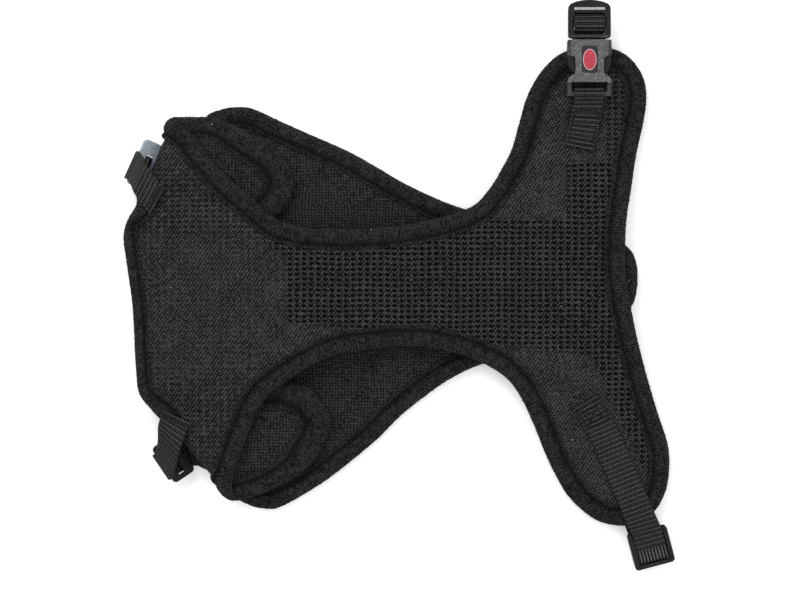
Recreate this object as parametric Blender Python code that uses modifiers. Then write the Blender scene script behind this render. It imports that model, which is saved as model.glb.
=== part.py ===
"""A small soft mesh dog harness lying flat, belly side up. Metres, +Z up.

The chest panel lies on the back panel. Its two shoulder lobes are folded under it, webbing
tabs join it to the back panel at the neck, and a girth strap with a side-release buckle and a
slider goes round the back panel. +X points to the tail, the floor is z = 0.
"""
import math

import bmesh
import bpy
from mathutils import Matrix, Vector

MM = 0.001

# Driving sizes, in millimetres
WEB = 15.0            # webbing width
WEB_T = 1.1           # webbing thickness
HALF = 3.1            # half the thickness of a bound edge
GAP = 0.4             # clear gap between layers that lie on each other
BIND_W = 10.0         # how far the binding reaches over a panel
BIND_T = 0.7          # binding cloth thickness
LINING = (-1.9, -1.3)     # each layer's span across the panel, outer face positive
PADDING = (-1.0, 0.6)
MESH = (0.9, 1.9)
LAYER_INSET = 2.5     # the layers stop this far inside the bound edge
GRID = 16.0           # spacing of the panels' mesh lines
CHEST_STEP, BACK_STEP = 10.5, 12.0    # spacing of the points round each bound edge

BACK_Z = HALF                          # middle of the back panel on the floor
LOBE_Z = BACK_Z + 2 * HALF + GAP       # middle of the folded shoulder lobes
CHEST_Z = LOBE_Z + 2 * HALF + GAP      # middle of the chest panel over the lobes
BEND_R = (CHEST_Z - LOBE_Z) / 2        # middle radius of the fold
TAIL_RISE = 4.3       # the tail end rides up on the leash ring and its webbing
WING_Z = HALF + 3.5   # the wings rest on the girth straps

# The chest panel's bound edge as it lies, from the upper neck corner to the lower one
NECK_UPPER = (-115.5, 85.0)
TOP_EDGE = [(-103.5, 75.5), (-97, 67), (-85, 53.5), (-73.5, 43.5), (-64.5, 35.5),
            (-55.5, 31), (-39, 28.5), (-16.5, 28.5), (11, 32), (34.5, 39), (44.5, 48.5),
            (51, 59), (56, 69), (60, 83), (64, 96), (71.5, 108.5), (81.5, 117)]
UPPER_TIP = [(94, 119.6), (106, 119), (115, 114.5), (121.5, 105.5), (123.5, 95), (122, 82)]
TAIL_EDGE = [(118.5, 66.5), (115.5, 48.5), (113, 33.5), (112.2, 20), (112.7, 3),
             (117.5, -22.5), (122.5, -41.5), (129, -63), (134, -78.5), (135, -90)]
LOWER_TIP = [(133.5, -101.5), (129, -111), (122, -117.8), (112, -120.2), (100.5, -118.3),
             (92, -113), (84, -105), (78, -95)]
BOTTOM_EDGE = [(72.5, -83.5), (67.5, -71), (61, -57), (53.5, -46.5), (42, -39), (26, -33),
               (5.5, -30), (-22.5, -32.5), (-33.5, -35), (-47, -41.5), (-58, -48.5),
               (-67, -56), (-73.5, -68.5), (-79, -83), (-83, -95)]
NECK_LOWER = (-85.0, -108.5)
NECK_LOWER_LEFT = (-118.0, -70.5)
LEFT_EDGE = [(-122.8, -63), (-129.5, -53), (-131.5, -38), (-133, -10), (-137, 20), (-136.6, 32)]
NECK_UPPER_LEFT = (-132.5, 42.0)

# The shoulder lobes' edges as they lie, folded under, each from its outer corner round the tip
UPPER_LOBE = [(-97, 84.5), (-89, 83), (-76, 77), (-62.5, 69), (-55.5, 60), (-53, 51),
              (-55, 43.5), (-60, 36.5), (-69, 30), (-82.5, 27), (-100, 29), (-117.5, 35.5)]
LOWER_LOBE = [(-72.5, -105), (-61.5, -100.5), (-50, -94), (-42.5, -86), (-37, -76),
              (-34.5, -67), (-38, -59.5), (-44.5, -51.5), (-51.5, -48.5), (-62.5, -46),
              (-77.5, -47), (-95, -53), (-110, -62)]

BACK_EDGE = [(-97, 85.5), (-89, 89), (-81.5, 90), (-73.5, 89), (-61.5, 83.5), (-47, 77),
             (-26.5, 68), (-12, 60), (5.5, 50), (30, 39.5), (60, 32), (90, 26), (109, 22),
             (115.5, 18), (118.5, 11), (119, 3), (118, -5), (114.5, -11.5), (100, -18.5),
             (70, -29.5), (41.5, -39), (25.5, -46.5), (12.5, -55.5), (0, -65.5),
             (-12, -77.5), (-33.5, -95), (-47, -104), (-60, -111), (-67, -112), (-76, -110),
             (-84, -104), (-89, -87), (-91, -67), (-87, -37), (-84, -7), (-86, 23),
             (-92, 53), (-98.5, 76)]

# Buckle, about its own centre line
BUCKLE_X = 94.3
BUCKLE_LOW, BUCKLE_HIGH = 10.3, 16.6
BUCKLE_HALF = 11.0
BAR_Y, BAR_HALF = 95.75, 1.2
BAR_Z = 12.4
MOUTH_Y = 122.5
PRONG_Z, PRONG_T = 13.35, 2.9

SLIDER_CENTRE = Vector((125.8, -131.2))
SLIDER_TURN = math.radians(15)
SLIDER_Z = 4.5
RING_Y, RING_Z, RING_WIRE = -2.0, 3.35, 1.2
LOOP_R = 3.3          # middle radius of a neck tab's loop round its bar
ADJUSTER_DROP = math.radians(25)


def smooth(value):
    """0 below 0, 1 above 1, and an even S between."""
    value = min(max(value, 0.0), 1.0)
    return value * value * (3 - 2 * value)


def spline(points, samples, closed):
    """Points along a Catmull-Rom curve through the given points."""
    count = len(points)
    vectors = [Vector(point) for point in points]
    spans = count if closed else count - 1
    found = []
    for span in range(spans):
        if closed:
            a, b, c, d = (vectors[(span + k - 1) % count] for k in range(4))
        else:
            b, c = vectors[span], vectors[span + 1]
            a = vectors[span - 1] if span else b + (b - c)
            d = vectors[span + 2] if span + 2 < count else c + (c - b)
        for step in range(samples):
            t = step / samples
            found.append(0.5 * ((2 * b) + (c - a) * t + (2 * a - 5 * b + 4 * c - d) * t * t
                                + (3 * b - a - 3 * c + d) * t ** 3))
    if not closed:
        found.append(vectors[-1])
    return found


def evenly(points, step, closed):
    """The same line, resampled with points about one step apart."""
    line = [Vector(point) for point in points]
    if closed:
        line.append(line[0])
    lengths = [0.0]
    for a, b in zip(line, line[1:]):
        lengths.append(lengths[-1] + (b - a).length)
    count = max(3, round(lengths[-1] / step))
    found, at = [], 0
    for k in range(count if closed else count + 1):
        target = lengths[-1] * k / count
        while at < len(line) - 2 and lengths[at + 1] < target:
            at += 1
        span = max(lengths[at + 1] - lengths[at], 1e-9)
        found.append(line[at].lerp(line[at + 1], (target - lengths[at]) / span))
    return found


def inset(outline, distance):
    """A closed outline moved inwards along its normals."""
    count = len(outline)
    area = sum(outline[k].x * outline[(k + 1) % count].y - outline[(k + 1) % count].x
               * outline[k].y for k in range(count))
    side = 1 if area > 0 else -1
    moved = []
    for k, point in enumerate(outline):
        along = (outline[(k + 1) % count] - outline[k - 1]).normalized()
        moved.append(point + side * distance * Vector((-along.y, along.x)))
    return moved


class Fold:
    """A straight fold between two corners of the silhouette; the lobe beyond it lies below."""

    def __init__(self, start, end):
        self.along = (Vector(end) - Vector(start)).normalized()
        self.out = Vector((self.along.y, -self.along.x))
        if self.out.x > 0:
            self.out = -self.out
        self.origin = Vector(start) - self.out * (BEND_R + HALF)

    def silhouette(self):
        return self.origin + self.out * (BEND_R + HALF)

    def beyond(self, point):
        return (point - self.origin).dot(self.out)

    def unfold(self, point):
        """Where a point of the folded lobe lies on the flat pattern."""
        point = Vector(point)
        inward = -self.beyond(point)
        return point + self.out * (inward + inward + math.pi * BEND_R)

    def place(self, point, offset):
        far = self.beyond(point)
        foot = point - self.out * far
        angle = min(far / BEND_R, math.pi)
        back = max(far - math.pi * BEND_R, 0.0)
        flat = foot + self.out * ((BEND_R + offset) * math.sin(angle) - back)
        height = CHEST_Z - BEND_R + (BEND_R + offset) * math.cos(angle)
        return Vector((flat.x, flat.y, height))


UPPER_FOLD = Fold(NECK_UPPER, NECK_UPPER_LEFT)
LOWER_FOLD = Fold(NECK_LOWER, NECK_LOWER_LEFT)


def back_height(x, y):
    return BACK_Z + TAIL_RISE * smooth((x - 5) / 65)


def chest_height(x, y):
    """The chest panel is level over the lobes and the back panel, and its wings droop."""
    level = CHEST_Z + (BACK_Z + TAIL_RISE + 2 * HALF + GAP - CHEST_Z) * smooth((x + 30) / 90)
    upper = y - (39.5 - 0.23 * (x - 30))
    lower = -39 + 0.41 * (x - 41.5) - y
    droop = smooth(max(upper, lower) / 60) * smooth((x - 15) / 40)
    return level + (WING_Z - level) * droop


def on_height(height, x, y, offset):
    """A point of a sheet with this height, moved by offset along the sheet's normal."""
    small = 0.5
    slope_x = (height(x + small, y) - height(x - small, y)) / (2 * small)
    slope_y = (height(x, y + small) - height(x, y - small)) / (2 * small)
    normal = Vector((-slope_x, -slope_y, 1)).normalized()
    return Vector((x, y, height(x, y))) + normal * offset


def chest_point(point, offset):
    for fold in (UPPER_FOLD, LOWER_FOLD):
        if fold.beyond(point) > 0:
            return fold.place(point, offset)
    return on_height(chest_height, point.x, point.y, offset)


def back_point(point, offset):
    """The back panel's outer face is underneath, so its offsets run downwards."""
    return on_height(back_height, point.x, point.y, -offset)


def finish(mesh_data, name, collection, material):
    obj = bpy.data.objects.new(name, mesh_data)
    collection.objects.link(obj)
    obj.data.materials.append(material)
    return obj


def paint(name, colour, roughness, metallic=0.0):
    material = bpy.data.materials.new(name)
    material.use_nodes = True
    shader = material.node_tree.nodes["Principled BSDF"]
    shader.inputs["Base Color"].default_value = (*colour, 1)
    shader.inputs["Roughness"].default_value = roughness
    shader.inputs["Metallic"].default_value = metallic
    return material


def flat_pattern(outline, fold_lines):
    """A triangulated face inside the outline, cut by the grid and by the fold lines."""
    bm = bmesh.new()
    bm.faces.new([bm.verts.new((point.x, point.y, 0)) for point in outline])
    xs = [point.x for point in outline]
    ys = [point.y for point in outline]
    cuts = []
    for low, high, normal in ((min(xs), max(xs), (1, 0)), (min(ys), max(ys), (0, 1))):
        count = int((high - low) / GRID)
        for k in range(1, count + 1):
            at = low + (high - low) * k / (count + 1)
            cuts.append((Vector(normal) * at, Vector(normal)))
    cut_along(bm, cuts + fold_lines)
    bmesh.ops.remove_doubles(bm, verts=bm.verts[:], dist=0.05)
    bmesh.ops.triangulate(bm, faces=bm.faces[:])
    return bm


def sheet(name, pattern, place, span, collection, material):
    """One layer of a panel: the pattern laid in place, then thickened to its span."""
    bm = pattern.copy()
    for vert in bm.verts:
        vert.co = place(vert.co.xy, span[0]) * MM
    data = bpy.data.meshes.new(name)
    bmesh.ops.recalc_face_normals(bm, faces=bm.faces[:])
    bm.to_mesh(data)
    bm.free()
    obj = finish(data, name, collection, material)
    outer = place(Vector((0, 0)), span[1]).z - place(Vector((0, 0)), span[0]).z
    upward = sum(face.normal.z for face in data.polygons
                 if face.center.x > 0.0) > 0
    solidify = obj.modifiers.new("Thickness", "SOLIDIFY")
    solidify.thickness = abs(span[1] - span[0]) * MM
    solidify.offset = 1 if (outer > 0) == upward else -1
    return obj


def cut_along(bm, lines):
    """Cuts a mesh along upright planes, each given by a point and a normal in plan."""
    for origin, normal in lines:
        bmesh.ops.bisect_plane(bm, geom=bm.verts[:] + bm.edges[:] + bm.faces[:], dist=0.01,
                               plane_co=(origin.x, origin.y, 0),
                               plane_no=(normal.x, normal.y, 0))


def ring_of_binding(name, outline, place, fold_lines, collection, material):
    """Binding folded round an edge: a channel section swept along it, then thickened."""
    half = HALF - BIND_T / 2
    wall = BIND_T / 2
    section = [(BIND_W, half), (2.4, half), (wall, 1.2), (wall, -1.2), (2.4, -half),
               (BIND_W, -half)]
    bm = bmesh.new()
    rows = [[bm.verts.new((point.x, point.y, offset)) for point in inset(outline, inward)]
            for inward, offset in section]
    count = len(outline)
    for lower, upper in zip(rows, rows[1:]):
        for k in range(count):
            after = (k + 1) % count
            bm.faces.new((lower[k], lower[after], upper[after], upper[k]))
    cut_along(bm, fold_lines)
    bmesh.ops.remove_doubles(bm, verts=bm.verts[:], dist=0.05)
    bmesh.ops.triangulate(bm, faces=bm.faces[:])
    bmesh.ops.recalc_face_normals(bm, faces=bm.faces[:])
    for vert in bm.verts:
        vert.co = place(vert.co.xy, vert.co.z) * MM
    data = bpy.data.meshes.new(name)
    bm.to_mesh(data)
    bm.free()
    obj = finish(data, name, collection, material)
    solidify = obj.modifiers.new("Thickness", "SOLIDIFY")
    solidify.thickness = BIND_T * MM
    solidify.offset = 0
    return obj


def ribbon(name, path, collection, material, samples=3):
    """Webbing along a path of (x, y, z, across x, across y), the across vectors unit long."""
    bm = bmesh.new()
    rows = []
    for x, y, z, ax, ay in spline(path, samples, False):
        across = Vector((ax, ay)).normalized() * WEB / 2
        rows.append([bm.verts.new(Vector((x - across.x, y - across.y, z)) * MM),
                     bm.verts.new(Vector((x + across.x, y + across.y, z)) * MM)])
    for near, far in zip(rows, rows[1:]):
        bm.faces.new((near[0], near[1], far[1], far[0]))
    data = bpy.data.meshes.new(name)
    bm.to_mesh(data)
    bm.free()
    obj = finish(data, name, collection, material)
    solidify = obj.modifiers.new("Thickness", "SOLIDIFY")
    solidify.thickness = WEB_T * MM
    solidify.offset = 0
    return obj


def block(name, low, high, round_by, collection, material, segments=2):
    """A box between two corners, with its edges rounded."""
    low, high = Vector(low) * MM, Vector(high) * MM
    bm = bmesh.new()
    bmesh.ops.create_cube(bm, size=1)
    bmesh.ops.scale(bm, vec=high - low, verts=bm.verts[:])
    bmesh.ops.translate(bm, vec=(low + high) / 2, verts=bm.verts[:])
    if round_by:
        bmesh.ops.bevel(bm, geom=bm.edges[:], offset=round_by * MM, segments=segments,
                        profile=0.5, affect="EDGES")
    data = bpy.data.meshes.new(name)
    bm.to_mesh(data)
    bm.free()
    return finish(data, name, collection, material)


def combine(obj, tools, operation):
    """Booleans with each tool; the tools are helpers that stay out of the model."""
    for tool in tools:
        modifier = obj.modifiers.new(tool.name, "BOOLEAN")
        modifier.operation = operation
        modifier.solver = "EXACT"
        modifier.object = tool
        tool.hide_render = True
        tool.display_type = "WIRE"


def plate(name, outlines, thickness, collection, material):
    """A flat plate from closed outlines, the first the rim and the rest its windows."""
    curve = bpy.data.curves.new(name, "CURVE")
    curve.dimensions = "2D"
    curve.fill_mode = "BOTH"
    curve.extrude = thickness / 2 * MM
    for points in outlines:
        line = curve.splines.new("POLY")
        line.points.add(len(points) - 1)
        for target, (x, y) in zip(line.points, points):
            target.co = (x * MM, y * MM, 0, 1)
        line.use_cyclic_u = True
    helper = bpy.data.objects.new(name + "_outline", curve)
    collection.objects.link(helper)
    graph = bpy.context.evaluated_depsgraph_get()
    data = bpy.data.meshes.new_from_object(helper.evaluated_get(graph))
    bpy.data.objects.remove(helper)
    bm = bmesh.new()
    bm.from_mesh(data)
    bmesh.ops.remove_doubles(bm, verts=bm.verts[:], dist=1e-6)
    bmesh.ops.recalc_face_normals(bm, faces=bm.faces[:])
    bm.to_mesh(data)
    bm.free()
    data.name = name
    data.materials.clear()
    return finish(data, name, collection, material)


def rounded(low, high, radius, steps=3):
    """A rectangle's outline with round corners."""
    (x0, y0), (x1, y1) = low, high
    corners = [(x1 - radius, y1 - radius, 0), (x0 + radius, y1 - radius, 90),
               (x0 + radius, y0 + radius, 180), (x1 - radius, y0 + radius, 270)]
    points = []
    for cx, cy, start in corners:
        for step in range(steps + 1):
            angle = math.radians(start + 90 * step / steps)
            points.append((cx + radius * math.cos(angle), cy + radius * math.sin(angle)))
    return points


def lift(obj, x, y, z, turn=None):
    obj.location = Vector((x, y, z)) * MM
    if turn is not None:
        obj.rotation_euler = turn.to_euler() if isinstance(turn, Matrix) else (0, 0, turn)


def chest_outline():
    upper = [UPPER_FOLD.unfold(point) for point in UPPER_LOBE]
    lower = [LOWER_FOLD.unfold(point) for point in LOWER_LOBE]
    turn_up = UPPER_FOLD.out * (math.pi * BEND_R / 2 - BEND_R - HALF)
    turn_low = LOWER_FOLD.out * (math.pi * BEND_R / 2 - BEND_R - HALF)
    corners = [Vector(NECK_UPPER) + turn_up, Vector(NECK_LOWER) + turn_low,
               Vector(NECK_LOWER_LEFT) + turn_low, Vector(NECK_UPPER_LEFT) + turn_up]
    points = (TOP_EDGE + UPPER_TIP + TAIL_EDGE + LOWER_TIP + BOTTOM_EDGE + [corners[1]] + lower
              + [corners[2]] + LEFT_EDGE + [corners[3]] + upper[::-1] + [corners[0]])
    return evenly(spline([Vector(point) for point in points], 4, True), CHEST_STEP, True)


def make_chest(collection, paints):
    outline = chest_outline()
    fold_lines = []
    for fold in (UPPER_FOLD, LOWER_FOLD):
        for k in range(5):
            fold_lines.append((fold.origin + fold.out * (math.pi * BEND_R * k / 4), fold.out))
    pattern = flat_pattern(inset(outline, LAYER_INSET), fold_lines)
    sheet("chest_lining", pattern, chest_point, LINING, collection, paints["lining"])
    sheet("chest_padding", pattern, chest_point, PADDING, collection, paints["padding"])
    sheet("chest_mesh", pattern, chest_point, MESH, collection, paints["mesh"])
    pattern.free()
    ring_of_binding("chest_binding", outline, chest_point, fold_lines, collection,
                    paints["binding"])


def make_back(collection, paints):
    outline = evenly(spline([Vector(point) for point in BACK_EDGE], 4, True), BACK_STEP, True)
    pattern = flat_pattern(inset(outline, LAYER_INSET), [])
    sheet("back_lining", pattern, back_point, LINING, collection, paints["lining"])
    sheet("back_padding", pattern, back_point, PADDING, collection, paints["padding"])
    sheet("back_mesh", pattern, back_point, MESH, collection, paints["mesh"])
    pattern.free()
    ring_of_binding("back_binding", outline, back_point, [], collection, paints["binding"])


def make_socket(collection, cutters, paints):
    x, low, high = BUCKLE_X, BUCKLE_LOW, BUCKLE_HIGH
    floor, roof = low + 1.3, high - 1.5
    socket = block("buckle_socket", (x - BUCKLE_HALF, BAR_Y - BAR_HALF, low),
                   (x + BUCKLE_HALF, MOUTH_Y, high), 1.0, collection, paints["buckle"])
    rooms = [
        ("cavity", (x - 9.4, 103.6, floor), (x + 9.4, MOUTH_Y + 2, roof), 0),
        ("mouth", (x - 13, 108, floor), (x + 13, MOUTH_Y + 2, roof), 0),
        ("window_left", (x - 13, 105.8, low - 1), (x - 6.9, 115.6, high + 1), 1.2),
        ("window_right", (x + 6.9, 105.8, low - 1), (x + 13, 115.6, high + 1), 1.2),
        ("web_slot", (x - 8.9, BAR_Y + BAR_HALF, low - 1), (x + 8.9, 101.4, high + 1), 0),
        ("bar_above", (x - 8.9, BAR_Y - 3, BAR_Z + BAR_HALF), (x + 8.9, 101.4, high + 1), 0),
        ("bar_below", (x - 8.9, BAR_Y - 3, low - 1), (x + 8.9, 101.4, BAR_Z - BAR_HALF), 0),
        ("badge_room", (x - 4.2, 105.6, high - 0.6), (x + 4.2, 119.6, high + 1), 0),
    ]
    tools = [block(name, a, b, round_by, cutters, paints["buckle"])
             for name, a, b, round_by in rooms]
    combine(socket, tools, "DIFFERENCE")
    oval = [(3.3 * math.cos(a), 5.2 * math.sin(a))
            for a in (2 * math.pi * k / 28 for k in range(28))]
    badge = plate("buckle_badge", [oval], 0.8, collection, paints["badge"])
    lift(badge, x, 112.5, high + 0.1)


def make_plug(collection, cutters, paints):
    x = BUCKLE_X
    dome = [(10.6, 123.6), (10.6, 139.0), (9.6, 140.4), (6.6, 141.4), (3.4, 142.2), (0, 142.5)]
    rim = dome + [(-px, py) for px, py in reversed(dome[:-1])]
    slots = [rounded((-8.2, 125.2), (8.2, 129.0), 0.6, 1),
             rounded((-8.2, 133.2), (8.2, 136.6), 0.6, 1)]
    plug = plate("buckle_plug", [rim] + slots, 4.2, collection, paints["buckle"])
    lift(plug, x, 0, PRONG_Z)
    tongue = block("tongue", (x - 2.6, 104.4, PRONG_Z - 1.3), (x + 2.6, 124.4, PRONG_Z + 1.3),
                   0.5, cutters, paints["buckle"], 1)
    combine(plug, [tongue], "UNION")
    arm = [(5.8, 123.2), (8.2, 123.2), (7.9, 117.4), (10.3, 115.1), (10.7, 112), (9.9, 108),
           (7.6, 106), (6.4, 106.8), (6.0, 114)]
    for side, name in ((-1, "buckle_prong_left"), (1, "buckle_prong_right")):
        root = Vector((side * 7.0, MOUTH_Y - 0.5))
        points = [(side * px - root.x, py - root.y) for px, py in arm]
        prong = plate(name, [points[::side]], PRONG_T, collection, paints["buckle"])
        lift(prong, x + root.x, root.y, PRONG_Z)


def make_buckle_webbing(collection, paints):
    """The tab on the wing, the strap through the ladder lock and the strap under the wing."""
    slant = (1, 0.0)
    start = (89.6, 69.5)
    tab_z = WING_Z + MESH[1] + GAP + WEB_T / 2
    turn = BAR_HALF * math.sqrt(2) + GAP + WEB_T / 2
    rise = [(start[0], start[1], height_on_chest(start, 0.9), 0.98, -0.2),
            (91.8, 80, height_on_chest((91.8, 80), 0.9), 0.99, -0.1),
            (93.8, 90.5, max(tab_z, BAR_Z - turn), *slant)]
    loop = []
    for k in range(7):
        angle = math.radians(-90 + 30 * k)
        loop.append((BUCKLE_X, BAR_Y + turn * math.cos(angle), BAR_Z + turn * math.sin(angle),
                     *slant))
    back = [(93.6, 89.5, height_on_chest((93.6, 89.5), 3.4), *slant),
            (91.7, 79.5, height_on_chest((91.7, 79.5), 2.5), 0.99, -0.1),
            (89.5, 69.0, height_on_chest((89.5, 69.0), 2.4), 0.98, -0.2)]
    ribbon("buckle_tab", rise + loop + back, collection, paints["webbing"], 2)
    top = PRONG_Z + 2.1 + GAP + WEB_T / 2
    path = [(BUCKLE_X - 1, 93, 2.3), (BUCKLE_X - 1, 106, 2.3), (BUCKLE_X - 1, 119.5, 2.4),
            (BUCKLE_X - 0.7, 123, 4.6), (BUCKLE_X, 126.0, 10.5), (BUCKLE_X, 127.2, 14.2),
            (BUCKLE_X, 129.4, top), (BUCKLE_X, 132.8, top), (BUCKLE_X, 135.0, 14.4),
            (BUCKLE_X, 135.2, 11.0), (BUCKLE_X, 133.2, 9.0), (BUCKLE_X, 130.2, 8.4)]
    ribbon("girth_strap_loop", [(*point, 1, 0) for point in path], collection,
           paints["webbing"], 2)


def height_on_chest(point, above):
    return chest_height(*point) + MESH[1] + above


def make_girth(collection, paints):
    """The strap across the back panel's outer face, over the ring's bar, to the slider."""
    flat = 0.75
    path = [(95, 117.5, flat, 1, 0), (95, 90, flat, 1, 0), (95, 50, flat, 1, 0),
            (95, 24, 1.8, 1, 0), (95, 14.0, 3.6, 1, 0), (95, 8.5, 4.25, 1, 0),
            (95, 4.0, 3.3, 1, 0),
            (95, RING_Y, 1.25, 1, 0), (95, -12, flat, 1, 0), (95.5, -40, flat, 0.99, 0.1),
            (103.5, -72, flat, 0.96, 0.27), (115.2, -104, flat, 0.95, 0.3)]
    end = slider_point(0, 0.8)
    path.append((end.x, end.y, flat, math.cos(SLIDER_TURN), math.sin(SLIDER_TURN)))
    ribbon("girth_strap", path, collection, paints["webbing"], 2)


def slider_point(across, along):
    """A place on the slider: across it, and along it from its outer end towards the wing."""
    turn = Matrix.Rotation(SLIDER_TURN, 2)
    return SLIDER_CENTRE + turn @ Vector((across, along - 9.6))


def make_slider(collection, cutters, paints):
    rim = rounded((-10.2, -9.6), (10.2, 9.6), 1.8)
    outer_slot = rounded((-7.9, -7.9), (7.9, -5.0), 0.5, 1)
    inner_slot = rounded((-7.9, -3.0), (7.9, 7.1), 0.5, 1)
    slider = plate("slider", [rim, outer_slot, inner_slot], 2.0, collection, paints["buckle"])
    lift(slider, *SLIDER_CENTRE, SLIDER_Z, SLIDER_TURN)
    rails = []
    for side in (-1, 1):
        rail = block(f"rail_{side + 1}", (min(side * 8.0, side * 10.1), -8.6, -1.0),
                     (max(side * 8.0, side * 10.1), 8.6, 3.6), 0.6, cutters, paints["buckle"], 1)
        lift(rail, *SLIDER_CENTRE, SLIDER_Z, SLIDER_TURN)
        rails.append(rail)
    combine(slider, rails, "UNION")
    across = (math.cos(SLIDER_TURN), math.sin(SLIDER_TURN))
    turn_r = 2.3
    path = [(*slider_point(0, 16.0), SLIDER_Z + turn_r, *across),
            (*slider_point(0, 10.0), SLIDER_Z + turn_r, *across)]
    for k in range(7):
        angle = math.radians(90 + 30 * k)
        place = slider_point(0, 5.6 + turn_r * math.cos(angle))
        path.append((*place, SLIDER_Z + turn_r * math.sin(angle), *across))
    path += [(*slider_point(0, 10.0), SLIDER_Z - turn_r, *across),
             (*slider_point(0, 16.0), SLIDER_Z - turn_r, *across)]
    ribbon("slider_fold", path, collection, paints["webbing"], 2)
    start = Vector((92.2, -58.0))
    high = SLIDER_Z + turn_r + WEB_T + GAP
    end, inner = slider_point(0, 9.7), slider_point(0, 18.0)
    strap = [(*start, height_on_chest(start, 0.9), 0.85, 0.52),
             (101.0, -71.5, height_on_chest((101.0, -71.5), 0.9), 0.92, 0.4),
             (110.5, -93, height_on_chest((110.5, -93), 1.2), 0.93, 0.37),
             (115.2, -104, height_on_chest((115.2, -104), 2.3), 0.93, 0.37),
             (119.6, -114.6, height_on_chest((119.6, -114.6), 2.3), 0.95, 0.32),
             (*inner, high + 0.3, *across), (*slider_point(0, 14), high, *across),
             (*end, high, *across)]
    ribbon("slider_strap", strap, collection, paints["webbing"], 2)


def make_ring(collection, paints):
    """The steel D ring under the tail end, its bar over the girth strap."""
    inner, reach = 8.9, 15.0
    radius = inner + RING_WIRE
    tilt = math.atan2(RING_Z - RING_WIRE - 0.15, reach)
    curve = bpy.data.curves.new("leash_ring", "CURVE")
    curve.dimensions = "3D"
    curve.bevel_depth = RING_WIRE * MM
    curve.bevel_resolution = 1
    points = [(-radius, 0.9), (-radius, 5.0)]
    points += [(-radius * math.cos(a), 5.0 + (reach - 5.0) * math.sin(a))
               for a in (math.pi * k / 10 for k in range(1, 10))]
    points += [(radius, 5.0), (radius, 0.9), (radius - 0.9, 0), (-radius + 0.9, 0)]
    line = curve.splines.new("POLY")
    line.points.add(len(points) - 1)
    for target, (x, y) in zip(line.points, points):
        target.co = (x * MM, y * MM, 0, 1)
    line.use_cyclic_u = True
    curve.materials.append(paints["steel"])
    ring = bpy.data.objects.new("leash_ring", curve)
    collection.objects.link(ring)
    ring.location = Vector((95, RING_Y, RING_Z)) * MM
    ring.rotation_euler = (-tilt, 0, 0)


def tab_path(fold, start, start_across, edge, bar, bar_z):
    """A tab's path: from its sewn end over the fold, down round the bar, and back up inside."""
    top = CHEST_Z + HALF + GAP + WEB_T / 2
    a0, a1 = Vector(start_across), Vector(bar).normalized()
    along = (Vector(edge) - Vector(start)).normalized()
    way = Vector((-a1.y, a1.x))
    way = way if way.dot(along) > 0 else -way
    centre = Vector(edge) - way * (LOOP_R + WEB_T / 2)
    over = fold.out.dot(along)
    rim = Vector(start) + along * (-(Vector(start) - fold.silhouette()).dot(fold.out) / over)
    path = [(*start, top, *a0), (*Vector(start).lerp(rim, 0.75), top, *a0.lerp(a1, 0.35)),
            (*rim.lerp(centre, 0.12), top - 0.5, *a0.lerp(a1, 0.6)),
            (*rim.lerp(centre, 0.55), (top + bar_z + LOOP_R) / 2 + 0.9, *a0.lerp(a1, 0.85))]
    for degrees in (65, 35, 0, -35, -65, -95, -130):
        angle = math.radians(degrees)
        place = centre + way * (LOOP_R * math.cos(angle))
        path.append((*place, bar_z + LOOP_R * math.sin(angle), *a1))
    path.append((*(centre - way * (LOOP_R + 0.1)), bar_z + 0.4, *a1))
    path.append((*(centre - way * (LOOP_R + 0.9)), bar_z + 2.6, *a1))
    return centre, path


def make_shoulder(name, fold, tab, side, ends, strap_path, collection, material, webbing):
    """A neck tab, the adjuster on it and the strap that goes on to the back panel."""
    bar_z = 9.6
    centre, path = tab_path(fold, *tab, bar_z)
    ribbon(f"shoulder_tab_{name}", path, collection, webbing, 2)
    rim = rounded((-ends[0], -2.2), (ends[1], 10.6), 1.4, 2)
    window = rounded((-8.3, 2.0), (8.3, 8.2), 0.5, 1)
    adjuster = plate(f"shoulder_adjuster_{name}", [rim, window], 2.2, collection, material)
    b = Vector((*tab[3], 0)).normalized() * side
    inward = Vector((-b.y, b.x, 0))
    d = inward * math.cos(ADJUSTER_DROP) - Vector((0, 0, math.sin(ADJUSTER_DROP)))
    adjuster.location = Vector((*centre, bar_z)) * MM
    adjuster.rotation_euler = Matrix((b, d, b.cross(d))).transposed().to_euler()
    ribbon(f"shoulder_strap_{name}", strap_path, collection, webbing, 2)


def make_shoulders(collection, paints):
    web = paints["webbing"]
    upper = ((-120.2, 41.8), (0.48, 0.88), (-135.0, 60.9), (0.41, 0.91))
    make_shoulder("upper", UPPER_FOLD, upper, -1, (15.0, 9.9),
                  [(-127.4, 57.3, 9.3, 0.41, 0.91), (-126.9, 57.0, 7.2, 0.41, 0.91),
                   (-126.2, 56.6, 4.6, 0.41, 0.91), (-124.0, 55.6, 2.6, 0.4, 0.92),
                   (-117, 55.8, 2.3, 0.3, 0.95), (-108, 61.0, 2.9, 0.0, 1.0),
                   (-99.6, 65.4, 3.1, -0.2, 0.98)], collection, paints["grey"], web)
    lower = ((-110.8, -64.5), (0.914, -0.406), (-119.8, -91.0), (0.56, -0.83))
    make_shoulder("lower", LOWER_FOLD, lower, 1, (10.6, 10.6),
                  [(-112.8, -86.3, 9.3, -0.56, 0.83), (-112.3, -85.9, 7.2, -0.56, 0.83),
                   (-111.6, -85.5, 4.6, -0.56, 0.83), (-109.6, -84.3, 2.6, -0.5, 0.87),
                   (-104, -83.2, 2.3, -0.3, 0.95), (-98, -84.5, 2.8, 0.0, 1.0),
                   (-92.4, -86, 3.1, 0.1, 0.99)], collection, paints["buckle"], web)


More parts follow.
